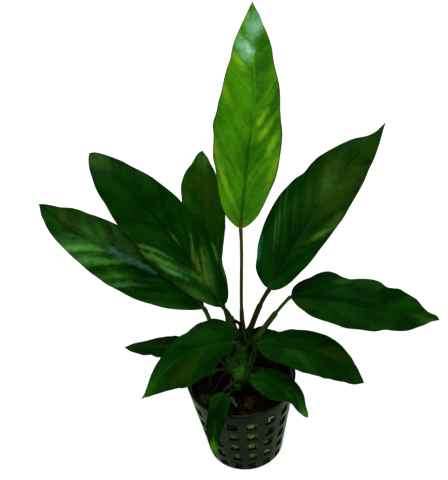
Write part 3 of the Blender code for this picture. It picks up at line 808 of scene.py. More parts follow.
def add_blade(leaf, upper, under):
    """The thin blade, folded at its midrib, with rippled margins and relief from its veins."""
    columns, rows = leaf["cells"]
    piece = new_grid("blade_" + leaf["name"], columns, rows)
    veins, flat, flow = [], [], []
    thin = piece.vertex_groups.new(name="thickness")
    height, count, phase = leaf["wave"]
    pattern = PATTERN_STEP * len(leaf["name"])
    ribs = blade_ribs(leaf, rows)
    for vert in piece.data.vertices:
        t, place, normal, side, left, right = ribs[round((vert.co.y + 1) / 2 * rows)]
        across = math.copysign(abs(vert.co.x) ** COLUMN_CROWD, vert.co.x)
        reach = abs(across) * (right if across > 0 else left)
        sideways = math.copysign(reach, across)
        swell = min(1, 4 * t, 5 * (1 - t))
        ripple_phase = count * t + phase + (RIPPLE_SHIFT if across > 0 else 0)
        ripple = height * swell * across**2 * math.sin(math.tau * ripple_phase)
        rise = reach * (math.sin(BLADE_FOLD) - BLADE_CURL * abs(across)) + ripple
        course = vein_course(leaf, t, reach, across)
        vein = course / leaf["veins"][0] + (RIGHT_VEINS if across > 0 else LEFT_VEINS)
        rise += BLADE_LIFT + blade_relief(leaf, t, reach, across, vein)
        veins.append((vein, across, t))
        flat.append((sideways, t * leaf_length(leaf), pattern))
        flow.append((course, sideways * FLOW_SQUEEZE, pattern))
        thin.add([vert.index], 1 - EDGE_THINNING * ease(abs(across), 0.75, 1.0), "REPLACE")
        vert.co = (place + side * math.copysign(reach * math.cos(BLADE_FOLD), across) + normal * rise) * MM
    tell(piece, "veins", veins)
    tell(piece, "flat", flat)
    tell(piece, "flow", flow)
    for finish in (upper, under):
        piece.data.materials.append(finish)
    apply_modifier(piece, "SOLIDIFY", thickness=BLADE_THICKNESS * MM, offset=-1,
                   vertex_group="thickness", thickness_vertex_group=THINNEST, material_offset=1)
    smooth(piece, 70)
    return dress(piece, (upper, under), leaf_slot(leaf), "leaf_" + leaf["name"])


def stalk_line(leaf):
    """Points up the stalk, to where it meets the blade."""
    arrive = Vector(leaf["arrive"]).normalized()
    root = Vector(leaf["root"])
    end = Vector(leaf["base"]) - arrive * BLADE_GAP
    reach = (end - root).length * STALK_HANDLE
    first = root + Vector(leaf["leave"]).normalized() * reach
    second = end - arrive * reach
    return [on_curve(step / STALK_STEPS, root, first, second, end) for step in range(STALK_STEPS + 1)]


def stalk_foot(leaf):
    """Points from the heart of the plant to where the stalk comes free. A low stalk's foot is short."""
    root = Vector(leaf["root"])
    heading = Vector(leaf["leave"]).normalized()
    if root.z < HEART[2] + HEART_RISE:
        return [root - heading * SHORT_FOOT]
    heart = Vector(HEART)
    bend = root - heading * (root - heart).length * FOOT_HANDLE
    shares = [step / HEART_STEPS for step in range(HEART_STEPS)]
    return [(1 - u) ** 2 * heart + 2 * u * (1 - u) * bend + u**2 * root for u in shares]


def rib_radius(thin, t):
    """Thickness of the raised midrib under the blade."""
    return thin * (0.95 - 0.78 * t**0.7)


def add_stalk(leaf, finish):
    """The stalk, with its channel, sheath and thick top. It runs on as the raised midrib below."""
    thick, thin = leaf["stalk"]
    sheath = STALK_COLOURS.get(leaf["name"], PLAIN_STALK)[2]
    line = stalk_foot(leaf) + stalk_line(leaf)
    stalk_rings = len(line)
    rooted = (stalk_rings - STALK_STEPS - 1) / stalk_rings
    for step in range(1, RIB_STEPS + 1):
        t = RIB_START + RIB_SHARE * step / RIB_STEPS
        place, normal, _ = midrib(leaf, t)
        line.append(place - normal * ease(t, 0.0, 0.05) * (0.35 + 0.8 * rib_radius(thin, t)))
    total = len(line) - 1

    def radius(share, angle):
        number = share * total
        if number >= stalk_rings:
            return rib_radius(thin, (number - stalk_rings) / RIB_STEPS)
        s = (number / stalk_rings - rooted) / (1 - rooted)
        wrapped = 1 - ease(s, sheath - 0.02, sheath + 0.03)
        size = thin * 0.95 + (thick - thin * 0.95) * wrapped * (1.04 - 0.12 * s / max(sheath, 0.01))
        size += STALK_TOP_SWELL * math.exp(-(((s - 0.95) / 0.035) ** 2))
        inside = 1 - ease(number / stalk_rings, 0.0, rooted + 0.05)
        size += STALK_FOOT_SWELL * (1 - ease(s, 0.0, 0.12)) + STALK_HEART_SWELL * inside
        upper_side = math.exp(-((min(angle, math.tau - angle) / 0.55) ** 2))
        lips = math.exp(-(((min(angle, math.tau - angle) - 0.95) / 0.3) ** 2)) * wrapped
        knobs = noise.noise(Vector((math.sin(angle) * 1.4, math.cos(angle) * 1.4, number * 0.35)))
        return size * (1 - CHANNEL_DEPTH * upper_side + SHEATH_LIP * lips + STALK_KNOBS * knobs)

    piece = tube("stalk_" + leaf["name"], line, radius, STALK_SIDES, leaf_axes(leaf)[2])
    return dress(piece, (finish,), "stalk_green", "petiole_" + leaf["name"])


# The creeping stem, its roots and what is left of old leaves.


def wall_radius(height):
    return POT_BASE_RADIUS + (POT_RIM_RADIUS - POT_BASE_RADIUS) * height / POT_HEIGHT


def wool_height(x, y):
    """Height of the wool's lumpy top, a little higher under the stem."""
    away = math.hypot(x, y) / wall_radius(WOOL_TOP)
    lump = math.sin(0.55 * x + 1.1) * math.cos(0.48 * y - 0.4) + 0.6 * math.sin(0.9 * x - 0.7 * y)
    return WOOL_TOP + WOOL_CROWN * (1 - away**2) + WOOL_LUMP * lump * (1 - away**4)


def add_creeping_stem(finish):
    """The knobbly green stem, with a ring where each old leaf sat."""
    line = [along_points(RHIZOME_LINE, step / STEM_STEPS) for step in range(STEM_STEPS + 1)]

    def radius(share, angle):
        size = along_values(RHIZOME_RADII, share)
        ends = min(1, share / 0.05, (1 - share) / 0.05)
        ring_turn = share * STEM_RINGS + 0.3 * math.sin(angle + 5 * share)
        ring = abs(math.sin(math.pi * ring_turn)) ** 0.5
        spot = Vector((math.sin(angle) * 1.6, math.cos(angle) * 1.6, share * 9))
        bumps = 1.5 * noise.noise(spot) + 0.5 * noise.noise(spot * 2.7)
        return (size * (0.90 + 0.08 * ring) + bumps) * math.sqrt(clamp(1 - (1 - ends) ** 2, 0.0001))

    piece = tube("creeping_stem", line, radius, STEM_SIDES, Vector((1, 0, 0)))
    return dress(piece, (finish,), "stem_green", "rhizome")


def root_tube(name, points, thick, thin, seed, steps):
    """A root that wanders and narrows to a soft point."""
    line = []
    for step in range(steps + 1):
        share = step / steps
        place = along_points(points, share)
        sway = Vector([noise.noise(Vector((share * 5 + axis * 9.1, seed, 0.5))) for axis in range(3)])
        line.append(place + sway * ROOT_SWAY * math.sin(math.pi * share))

    def radius(share, angle):
        grain = 1 + ROOT_GRAIN * noise.noise(Vector((math.sin(angle), math.cos(angle), share * 22 + seed)))
        point = math.sqrt(clamp(1 - ease(share, 0.94, 1.0), 0.0004))
        return (thick + (thin - thick) * share) * grain * point

    return tube(name, line, radius, ROOT_SIDES, Vector((0.3, 0.1, 1)).normalized())


def standing_roots():
    """The stem's own roots, each down to its place on the wool."""
    return [((start, knee, (*foot, wool_height(*foot) - ROOT_DEPTH)), radius)
            for start, knee, foot, radius in ROOTS]


def add_roots(name, rows, narrowing, variety, finish, steps=ROOT_STEPS):
    """Roots of one kind as one piece, and also the withered stalks, which are made the same way.

    A row has the root's points and its thickness, narrowing is what is left of that at its end, and
    variety gives each root wanderings of its own.
    """
    pieces = [
        root_tube(f"{name}_{number}", points, radius, radius * narrowing, number * variety, steps)
        for number, (points, radius) in enumerate(rows, 1)]
    return dress(join(name, pieces), (finish,), "stem_green")


# Thin young roots: points of each, and its thickness.
YOUNG_ROOTS = (
    (((-4, -8, 60), (-6, -12, 57), (-5.1, -15.8, 52), (-3.2, -19, 49.5)), 0.6),
    (((-4, -4, 63), (-9, -7, 60), (-13, -9, 54), (-15, -10, 49)), 0.42),
    (((5, -6, 61), (10, -8, 58), (14, -9, 53), (17, -10, 48)), 0.42),
    (((4, 4, 65), (9, 6, 62), (15, 5, 56), (18, 3, 48)), 0.45),
    (((-2, 6, 66), (-6, 11, 62), (-8, 15, 54), (-9, 17, 48)), 0.45),
    (((3, 8, 67), (6, 13, 62), (8, 17, 54), (9, 19, 48)), 0.45),
)

# Pale growing ends: a root tip and a bud.
PALE_ENDS = (
    (((-5.6, -15.0, 53.0), (-5.0, -16.2, 52.2), (-4.2, -17.8, 51.6), (-3.4, -19.2, 50.6)), 1.0),
    (((-6.3, -2.2, 67.6), (-5.6, -3.4, 66.8), (-4.6, -4.8, 65.6)), 0.55),
    (((-5.6, -4.4, 66.0), (-4.8, -5.4, 65.2), (-4.0, -6.2, 64.0)), 0.45),
)

# Dead brown remains about the crown: points and thickness.
REMAINS = (
    (((-4.5, 9, 74), (-2.6, 8.6, 80.5), (-0.4, 7.6, 83.5), (1.6, 8.4, 80), (1.8, 9.5, 73)), 1.05),
    (((3, 11, 66), (9, 11, 71.5), (14, 9.5, 73.5), (18.5, 8, 69.5), (21, 6.5, 60), (20.5, 5, 47)), 1.2),
    (((4, 10, 66), (9, 10, 70), (13.5, 8.5, 72), (17, 6.5, 68), (18, 4.0, 59), (17, 3, 47)), 1.3),
    (((5, 9, 65), (11, 11, 69), (16, 10.5, 71), (20, 9, 67), (22.0, 8.5, 59), (21, 8, 47)), 1.1),
    (((5, 8, 65), (10, 8, 68), (14, 7, 69.5), (18, 5, 65), (20.5, 2.5, 57), (20.5, 1, 47)), 1.2),
    (((7, 1, 64), (11, 1, 64), (14, 0.5, 61), (18, -1, 57), (21, -2, 50)), 1.6),
    (((6, -6, 60), (10, -7, 57), (15, -6, 54), (20, -6, 48)), 0.9),
    (((-5, 0, 65), (-10, 2, 62), (-15, 3, 55), (-17, 4, 47)), 1.3),
    (((-3, 6, 66), (-9, 8, 64), (-14, 9, 57), (-17, 9, 47)), 1.5),
    (((6, 6, 66), (12, 5, 65), (17, 3, 58), (21, 2, 48)), 1.5),
)

# Pointed scales that wrap the stalks' feet: foot, tip and width.
SCALES = (
    ((-3.6, -2.6, 64.5), (-5.4, -2.2, 69.5), 2.6),
    ((-4.4, -6.2, 62), (-6.2, -5.4, 65.5), 2.2),
    ((3.9, -6.0, 63), (4.9, -6.6, 68.0), 2.4),
    ((5.2, -0.5, 65.5), (7.2, -0.2, 71.0), 2.8),
    ((1.0, 3.0, 68), (2.2, 5.5, 77.5), 3.8),
    ((-2.0, 5.0, 68), (-3.0, 7.0, 76.5), 3.4),
    ((4.5, 4.0, 68), (5.6, 5.8, 77), 3.6),
    ((7.0, 3.5, 67), (9.5, 4.4, 74), 3.0),
)
SCALE_CELLS = (12, 16)
SCALE_CURL = 1.25
SCALE_THICKNESS = 0.22


def add_scales(finish):
    """Papery scales, each a pointed sheet curled round a stalk's foot."""
    pieces = []
    for number, (foot, tip, width) in enumerate(SCALES, 1):
        foot, tip = Vector(foot), Vector(tip)
        heading = (tip - foot).normalized()
        outward = Vector((foot.x, foot.y - 2, 0))
        outward = (outward - heading * outward.dot(heading)).normalized()
        right = heading.cross(outward)
        piece = new_grid(f"scale_{number}", *SCALE_CELLS)
        for vert in piece.data.vertices:
            share = (vert.co.y + 1) / 2
            half = width * (1 - share**1.8) ** 0.9 + 0.05
            turn = vert.co.x * SCALE_CURL
            edge = 0.3 * noise.noise(Vector((turn * 2, share * 5, number)))
            place = foot + heading * share * (tip - foot).length + right * math.sin(turn) * half
            place += outward * (math.cos(turn) * half * 0.8 - 0.5 * share * share + edge * share)
            vert.co = place * MM
        apply_modifier(piece, "SOLIDIFY", thickness=SCALE_THICKNESS * MM, offset=0)
        smooth(piece, 60)
        pieces.append(piece)
    return dress(join("crown_scales", pieces), (finish,), "stalk_green")


# The pot and its filling.


def slot_middle(row):
    """Height of the middle of a row of slots. Row 0 is the lowest."""
    return SLOT_TOP_ROW - SLOT_PITCH * (SLOT_ROWS - 1 - row)


def pot_cell():
    """One plate of the wall, laid flat, with a slot that has rounded corners."""
    deselect()
    bpy.ops.mesh.primitive_plane_add(size=1)
    cell = bpy.context.object
    cell.name = "pot_cell"
    bpy.ops.object.mode_set(mode="EDIT")
    bpy.ops.mesh.select_all(action="SELECT")
    bpy.ops.transform.resize(value=(COLUMN_WIDTH * MM, SLOT_PITCH * MM, 1))
    bpy.ops.mesh.inset(thickness=SLOT_MARGIN * MM)
    bpy.ops.transform.resize(value=(1, SLOT_STRETCH, 1))
    bpy.ops.mesh.bevel(affect="VERTICES", offset=SLOT_CORNER * MM, segments=SLOT_CORNER_STEPS)
    bpy.ops.mesh.select_all(action="DESELECT")
    bpy.ops.object.mode_set(mode="OBJECT")
    middle = min(cell.data.polygons, key=lambda face: face.center.length)
    middle.select = True
    bpy.ops.object.mode_set(mode="EDIT")
    bpy.ops.mesh.delete(type="FACE")
    cuts = [COLUMN_WIDTH * (strip / COLUMN_STRIPS - 0.5) for strip in range(1, COLUMN_STRIPS)]
    cut_through(cell, cuts, (1, 0, 0))
    return cell


def pot_plate(name, low, high, rows):
    """A plain stretch of the flat wall, all the way round."""
    piece = new_grid(name, SLOT_COLUMNS * COLUMN_STRIPS, rows)
    for vert in piece.data.vertices:
        x = (vert.co.x + 1) / 2 * SLOT_COLUMNS * COLUMN_WIDTH - COLUMN_WIDTH / 2
        vert.co = Vector((x, low + (high - low) * (vert.co.y + 1) / 2, 0)) * MM
    return piece


def floor_reach(radius):
    """How far down the flat wall, below 0, a circle of the floor lies."""
    return radius - wall_radius(POT_EDGE_ROUND)


def pot_spot(x, y):
    """Place on the outside of the pot, y up the wall or, below 0, along the floor to its centre."""
    angle = math.radians(SLOT_FIRST_COLUMN + x / COLUMN_WIDTH * 360 / SLOT_COLUMNS)
    foot = wall_radius(POT_EDGE_ROUND)
    if y > POT_EDGE_ROUND:
        radius, height = wall_radius(y), y
    elif y > -POT_EDGE_ROUND:
        turn = (POT_EDGE_ROUND - y) / (2 * POT_EDGE_ROUND) * math.pi / 2
        radius = foot - POT_EDGE_ROUND * (1 - math.cos(turn))
        height = POT_EDGE_ROUND * (1 - math.sin(turn))
    else:
        radius, height = foot + y, 0.0
    return Vector((*around(angle, radius), height)) * MM


def add_pot(finish):
    """The slotted cup: rows of plates with one slot each, a plain band above and a slotted floor."""
    cell = pot_cell()
    pieces = []
    for column in range(SLOT_COLUMNS):
        for row in range(SLOT_ROWS):
            plate = copy_of(cell)
            middle = Vector((column * COLUMN_WIDTH, slot_middle(row), 0))
            plate.data.transform(Matrix.Translation(middle * MM))
            pieces.append(plate)
    bpy.data.objects.remove(cell, do_unlink=True)
    lowest = slot_middle(0) - SLOT_PITCH / 2
    pieces.append(pot_plate("band", slot_middle(SLOT_ROWS - 1) + SLOT_PITCH / 2, POT_HEIGHT, 3))
    pieces.append(pot_plate("floor_ring", floor_reach(FLOOR_SLOT_OUTER), lowest, 1))
    spokes = pot_plate("spokes", floor_reach(FLOOR_DISC_RADIUS), floor_reach(FLOOR_SLOT_OUTER), 1)
    only(spokes)
    for face in spokes.data.polygons:
        column = round(face.center.x / MM / COLUMN_WIDTH)
        beside = abs(face.center.x / MM - column * COLUMN_WIDTH)
        face.select = column % 2 == 0 and beside < COLUMN_WIDTH / COLUMN_STRIPS
    bpy.ops.object.mode_set(mode="EDIT")
    bpy.ops.mesh.delete(type="FACE")
    bpy.ops.object.mode_set(mode="OBJECT")
    pieces.append(spokes)
    pieces.append(pot_plate("floor_disc", floor_reach(0), floor_reach(FLOOR_DISC_RADIUS), 3))
    pot = join("net_cup", pieces)
    merge_close(pot, MERGE)
    cut_through(pot, [cut * POT_EDGE_ROUND for cut in POT_EDGE_CUTS], (0, 1, 0))
    for vert in pot.data.vertices:
        vert.co = pot_spot(vert.co.x / MM, vert.co.y / MM)
    merge_close(pot, 2 * MERGE)
    apply_modifier(pot, "SOLIDIFY", thickness=POT_WALL * MM, offset=-1, use_even_offset=True)
    apply_modifier(pot, "BEVEL", width=POT_ARRIS_ROUND * MM, segments=2, limit_method="ANGLE",
                   angle_limit=math.radians(55), use_clamp_overlap=False)
    smooth(pot, 35)
    return dress(pot, (finish,), "pot_plastic", "net_pot")


def slot_bulge(angle, height):
    """How far the wool swells into a slot, from 0 at its edges to 1 at its middle."""
    pitch = 360 / SLOT_COLUMNS
    turn = (math.degrees(angle) - SLOT_FIRST_COLUMN + pitch / 2) % pitch - pitch / 2
    row = round((height - slot_middle(0)) / SLOT_PITCH)
    rise = height - slot_middle(clamp(row, 0, SLOT_ROWS - 1))
    return clamp(1 - (turn / SLOT_BULGE_TURN) ** 4) * clamp(1 - (rise / SLOT_BULGE_RISE) ** 4)


def add_wool(finish):
    """The plug of rock wool, rough all over, pressing into the slots, with a lumpy top."""
    columns, rows = WOOL_CELLS
    piece = new_grid("wool_plug", columns, rows)
    low = POT_WALL + WOOL_FLOOR_GAP
    below_top = WOOL_FLOOR_ROWS + WOOL_SIDE_ROWS
    for vert in piece.data.vertices:
        angle = (vert.co.x + 1) * math.pi
        row = round((vert.co.y + 1) / 2 * rows)
        if row <= WOOL_FLOOR_ROWS:
            radius = (wall_radius(low) - WOOL_SLACK) * row / WOOL_FLOOR_ROWS
            height = low
        elif row <= below_top:
            height = low + (WOOL_TOP - low) * (row - WOOL_FLOOR_ROWS) / WOOL_SIDE_ROWS
            radius = wall_radius(height) - WOOL_SLACK
            spot = Vector((math.sin(angle) * radius, math.cos(angle) * radius, height)) * 0.55
            rough = 0.35 * (noise.noise(spot) - 0.5) + 0.2 * (noise.noise(spot * 3) - 0.5)
            radius += WOOL_BULGE * slot_bulge(angle, height) + rough
        else:
            share = (row - below_top) / (rows - below_top)
            radius = (wall_radius(WOOL_TOP) - WOOL_SLACK) * (1 - share)
            x, y = around(angle, radius)
            spot = Vector((x, y, 3.0))
            rough = 1.3 * noise.noise(spot * 0.3) + 0.7 * noise.noise(spot * 0.8)
            rough += 0.4 * noise.noise(spot * 1.9)
            height = wool_height(x, y) + (rough - 0.6) * ease(share, 0, 0.06)
            height -= 1.2 * (1 - ease(share, 0, 0.04))
        vert.co = Vector((*around(angle, radius), height)) * MM
    merge_close(piece, MERGE)
    smooth(piece)
    return dress(piece, (finish,), "rock_wool", "rock_wool")


def spot_on_wool(picks, reach, nearest):
    """A place picked on the wool's top, no further out than reach and not quite at its middle."""
    angle = picks.uniform(0, math.tau)
    return around(angle, reach * math.sqrt(picks.uniform(nearest, 1)))


# Big lumps of brown wool that show between the leaves: place, size and how brown.
BIG_LUMPS = (
    ((-17.6, -11.2, 48.5), 3.6, 0.85),
    ((3.9, -16.8, 50.0), 3.7, 0.62),
    ((8.5, -14.5, 49.5), 2.6, 0.5),
)


def add_lumps(finish):
    """Torn lumps of wool and bark lying on the top. One is modelled, and the rest are its copies."""
    deselect()
    bpy.ops.mesh.primitive_ico_sphere_add(subdivisions=3, radius=1)
    model = bpy.context.object
    picks = random.Random(LUMP_SEED)
    places = [(place, size) for place, size, _ in BIG_LUMPS]
    for _ in range(LUMP_COUNT):
        x, y = spot_on_wool(picks, LUMP_REACH, 0.05)
        size = picks.uniform(0.7, 2.1)
        places.append(((x, y, wool_height(x, y) - 0.2 + 0.3 * size), size))
    pieces = []
    for number, (place, size) in enumerate(places):
        lump = copy_of(model)
        squeeze = Vector((picks.uniform(0.75, 1.25), picks.uniform(0.7, 1.1), picks.uniform(0.45, 0.8)))
        brown = BIG_LUMPS[number][2] if number < len(BIG_LUMPS) else picks.uniform(0, 0.6)
        tone = lump.data.attributes.new("tone", "FLOAT", "POINT")
        for vert in lump.data.vertices:
            spot = vert.co * 1.1 + Vector((number * 4.1, 0, 0))
            torn = 1 + 0.55 * noise.noise(spot) + 0.3 * noise.noise(spot * 2.6) + 0.14 * noise.noise(spot * 6)
            tone.data[vert.index].value = brown
            vert.co = (Vector(place) + vert.co * squeeze * size * torn) * MM
        pieces.append(lump)
    bpy.data.objects.remove(model, do_unlink=True)
    lumps = join("wool_lumps", pieces)
    smooth(lumps, 60)
    return dress(lumps, (finish,), "rock_wool")


def strands(name, lines, thickness):
    """Many fine fibres as one mesh of closed tubes with few sides."""
    curve = bpy.data.curves.new(name, "CURVE")
    curve.dimensions = "3D"
    curve.bevel_depth = thickness / 2 * MM
    curve.bevel_resolution = 0
    curve.use_fill_caps = True
    for line in lines:
        spline = curve.splines.new("POLY")
        spline.points.add(len(line) - 1)
        for knot, place in zip(spline.points, line):
            knot.co = (*(Vector(place) * MM), 1)
    piece = bpy.data.objects.new(name, curve)
    bpy.context.collection.objects.link(piece)
    only(piece)
    bpy.ops.object.convert(target="MESH")
    merge_close(bpy.context.object, FIBRE_MERGE)
    return bpy.context.object


def fibre_line(picks, start, heading, length, steps=6):
    """A short curly fibre that sets off along heading."""
    line = [Vector(start)]
    direction = Vector(heading).normalized()
    for _ in range(steps):
        turn = Vector([picks.uniform(-0.5, 0.5) for _ in range(3)])
        direction = (direction + turn).normalized()
        line.append(line[-1] + direction * length / steps)
    return line


def add_top_fibres(finish):
    """Loose curly fibres all over the top."""
    picks = random.Random(TOP_FIBRE_SEED)
    lines = []
    for _ in range(TOP_FIBRES):
        x, y = spot_on_wool(picks, TOP_FIBRE_REACH, 0.02)
        heading = (picks.uniform(-1, 1), picks.uniform(-1, 1), picks.uniform(-0.1, 0.5))
        lines.append(fibre_line(picks, (x, y, wool_height(x, y) + 0.1), heading, picks.uniform(2, 5)))
    return dress(strands("wool_fibres", lines, TOP_FIBRE_THICKNESS), (finish,), "rock_wool")


def add_slot_fibres(finish):
    """Fibres that poke out through the slots."""
    picks = random.Random(SLOT_FIBRE_SEED)
    lines = []
    for number in range(SLOT_COLUMNS * SLOT_ROWS * FIBRES_A_SLOT):
        column, row = divmod(number // FIBRES_A_SLOT, SLOT_ROWS)
        turn = SLOT_FIRST_COLUMN + 360 / SLOT_COLUMNS * column
        angle = math.radians(turn + picks.uniform(-SLOT_FIBRE_TURN, SLOT_FIBRE_TURN))
        height = slot_middle(row) + picks.uniform(-SLOT_FIBRE_RISE, SLOT_FIBRE_RISE)
        outward = Vector((*around(angle, 1), 0))
        girth = Vector((math.cos(angle), math.sin(angle), 0))
        start = outward * (wall_radius(height) - SLOT_FIBRE_DEPTH) + Vector((0, 0, height))
        heading = girth * picks.uniform(-1, 1) + Vector((0, 0, picks.uniform(-1, 1))) + outward * 0.25
        lines.append(fibre_line(picks, start, heading, picks.uniform(1.2, 2.2), 4))
    return dress(strands("slot_fibres", lines, SLOT_FIBRE_THICKNESS), (finish,), "rock_wool")


# Pale tufts on the wall at single slots: points as turn in degrees and height, and the thickness.
PALE_TUFTS = (
    (((26.5, 43.6), (28.0, 45.0), (29.0, 43.9), (30.5, 44.9), (32.5, 43.8)), 0.5),
    (((26.8, 42.0), (28.2, 43.0), (27.6, 41.6)), 0.4),
    (((27.0, 15.0), (29.0, 14.2), (31.5, 13.8)), 0.6),
)


def add_pale_tufts(finish):
    """Light tufts that lie on the outside of the wall."""
    pieces = []
    for number, (points, thickness) in enumerate(PALE_TUFTS, 1):
        line = [(*around(math.radians(turn), wall_radius(height) + TUFT_STANDS_OFF), height)
                for turn, height in points]
        pieces.append(strands(f"pale_tuft_{number}", [line], thickness))
    return dress(join("pale_tufts", pieces), (finish,), "rock_wool")


# The finishes.


def between_veins(phase):
    """How far on from the last side vein a place is, and how far it is from the nearest one."""
    onward = phase.sum("FRACT", phase)
    return onward, 0.5 - abs(onward - 0.5)


def leaf_upper_finish(leaf):
    """Streaked greens with each leaf's patches, some of them painted highlights, its midrib, side veins and
    margin.
    """
    look = LEAF_COLOURS[leaf["name"]]
    finish = Finish("upper_" + leaf["name"])
    phase, across, share = finish.parts(finish.told("veins"))
    flat = finish.told("flat")
    flow = finish.told("flow")
    x = finish.parts(flat)[0]
    course = finish.parts(flow)[0]
    reach = abs(x)
    broad = finish.noise(flat, 0.07, 3.0, 0.6)
    bands = finish.noise(flow, 0.17, 2.0, 0.5)
    streaks = finish.noise(flow, 0.70, 3.0, 0.6)
    threads = finish.noise(flow, 2.2, 2.0, 0.55)
    mottle = finish.noise(flat, 0.8, 4.0, 0.65)
    warp = finish.noise(flat, 0.35, 2.0, 0.5)
    ragged = (streaks - 0.5) * 0.9 + (mottle - 0.5) * 0.3 + (warp - 0.5) * 1.3
    colour = finish.two_tone(broad * 0.6 + bands * 0.4, 0.38, 0.62, *look["greens"])
    rib_colour = finish.two_tone(share, 0.35, 0.65, *look["rib"])
    rib_half = 0.75 - share * 0.45
    colour = finish.laid(colour, rib_colour, 0.8, reach / rib_half, 1.25, 0.7)
    # Patches in the sheen, glint, teal, pale, mint, soft, emerald and, on upper_left, ochre colours are
    # painted highlights; the one in SHADE is painted shade.
    for t, v, long, wide, strength, tint in look["patches"]:
        middle = abs(v) * half_width(leaf, "right" if v > 0 else "left", t)
        off_course = (course - vein_course(leaf, t, middle, v)) / wide
        off_reach = (x - math.copysign(middle, v)) / long
        near = (off_course * off_course + off_reach * off_reach) ** 0.5 + ragged
        colour = finish.laid(colour, tint, strength, near, 1.35, -0.05)
    darker = finish.tinted(colour, (0.45, 0.58, 0.45))
    lighter = finish.tinted(colour, (1.65, 1.45, 1.25))
    reached = finish.step(reach, 0.5, 3.0)
    grain = look["grain"]
    colour = finish.laid(colour, darker, grain, streaks, 0.50, 0.32)
    colour = finish.mix(finish.step(streaks, 0.54, 0.72) * grain * reached, colour, lighter)
    colour = finish.mix(finish.step(threads, 0.54, 0.70) * grain * 0.7 * reached, colour, lighter)
    colour = finish.laid(colour, darker, 0.4, mottle, 0.52, 0.34)
    colour = finish.laid(colour, lighter, 0.35, mottle, 0.52, 0.70)
    # Painted light and shade on the swellings between side veins: painted shade at each vein and just before
    # the next one, and a painted highlight just past each vein.
    onward, from_vein = between_veins(phase)
    vein = finish.step(from_vein, 0.07, 0.01) * reached
    after = finish.step(onward, 0.05, 0.22) * finish.step(onward, 0.65, 0.30)
    before = finish.step(onward, 0.60, 0.98)
    colour = finish.mix((vein * 0.5 + before * 0.5) * look["vein_light_and_shade"] * reached, colour, darker)
    colour = finish.mix(after * look["vein_light_and_shade"] * reached, colour, lighter)
    colour = finish.laid(colour, BROWN, look["rim"], abs(across) + (streaks - 0.5) * 0.03, 0.945, 0.985)
    rough = look["gloss"] + (bands - 0.5) * 0.25 + (mottle - 0.5) * 0.12
    height = threads * 0.5 + streaks * 0.9 + mottle * 0.4 - vein * 0.8
    return finish.wear(
        Base_Color=colour, Roughness=rough, Normal=finish.bump(height, 0.45, 0.10),
        Specular_IOR_Level=look["shine"], Specular_Tint=GREEN_GLOSS)


# Each kind of leaf from below: its darker and lighter skin and its raised veins.
UNDERSIDES = {
    "dark_leaf": ((0.018, 0.085, 0.012), (0.035, 0.125, 0.018), (0.06, 0.17, 0.03)),
    "bright_leaf": ((0.075, 0.22, 0.015), (0.12, 0.29, 0.03), (0.17, 0.36, 0.06)),
}


def leaf_under_finish(name, low, high, vein_colour):
    """The underside is paler and duller, with raised veins."""
    finish = Finish(name)
    phase, across, _ = finish.parts(finish.told("veins"))
    flat = finish.told("flat")
    broad = finish.noise(flat, 0.06, 3.0)
    grain = finish.noise(flat, 0.9, 3.0, 0.6)
    colour = finish.two_tone(broad, 0.35, 0.65, low, high)
    vein = finish.step(between_veins(phase)[1], 0.14, 0.02)
    colour = finish.mix(vein * 0.75, colour, vein_colour)
    darker = finish.scaled(colour, (0.6, 0.6, 0.6))
    colour = finish.laid(colour, darker, 0.35, grain, 0.52, 0.75)
    colour = finish.laid(colour, MAROON, 0.8, abs(across), 0.96, 0.99)
    return finish.wear(
        Base_Color=colour, Roughness=0.55 + (grain - 0.5) * 0.15,
        Normal=finish.bump(vein * 1.0 + grain * 0.2, 0.35, 0.12), Specular_IOR_Level=0.25)


def stalk_finish(leaf):
    """A stalk from its sheathed foot to its top, running into the midrib's colour under the blade."""
    low, high, _ = STALK_COLOURS.get(leaf["name"], PLAIN_STALK)
    finish = Finish("stalk_" + leaf["name"])
    place = finish.place()
    height = finish.parts(place)[2]
    foot, top = leaf["root"][2] * MM, leaf["base"][2] * MM
    grain = finish.noise(finish.scaled(place, (1.0, 1.0, 0.16)), 1400.0, 3.0, 0.6)
    blotch = finish.noise(place, 260.0, 2.0)
    colour = finish.two_tone(height, foot + (top - foot) * 0.40, foot + (top - foot) * 0.80, low, high)
    colour = finish.laid(colour, MIDDLE, 0.8, height, foot + 0.003, foot - 0.003)
    colour = finish.laid(colour, finish.tinted(colour, (0.45, 0.5, 0.5)), 0.4, grain, 0.45, 0.75)
    colour = finish.laid(colour, BROWN, 0.45, blotch, 0.56, 0.74)
    base, tip = Vector(leaf["base"]), Vector(leaf["tip"])
    towards_tip = (tip - base).normalized()
    past_base = finish.node("ShaderNodeVectorMath", {"operation": "DOT_PRODUCT"},
                            {0: place, 1: tuple(towards_tip)}, "Value")
    past_base = past_base - base.dot(towards_tip) * MM
    colour = finish.laid(colour, UNDERSIDES[leaf_slot(leaf)][2], 0.85, past_base, 0.0, 0.03)
    return finish.wear(
        Base_Color=colour, Roughness=0.38 + (grain - 0.5) * 0.25, Normal=finish.bump(grain, 0.4, 0.12),
        Specular_IOR_Level=0.32, Specular_Tint=STALK_GLOSS)


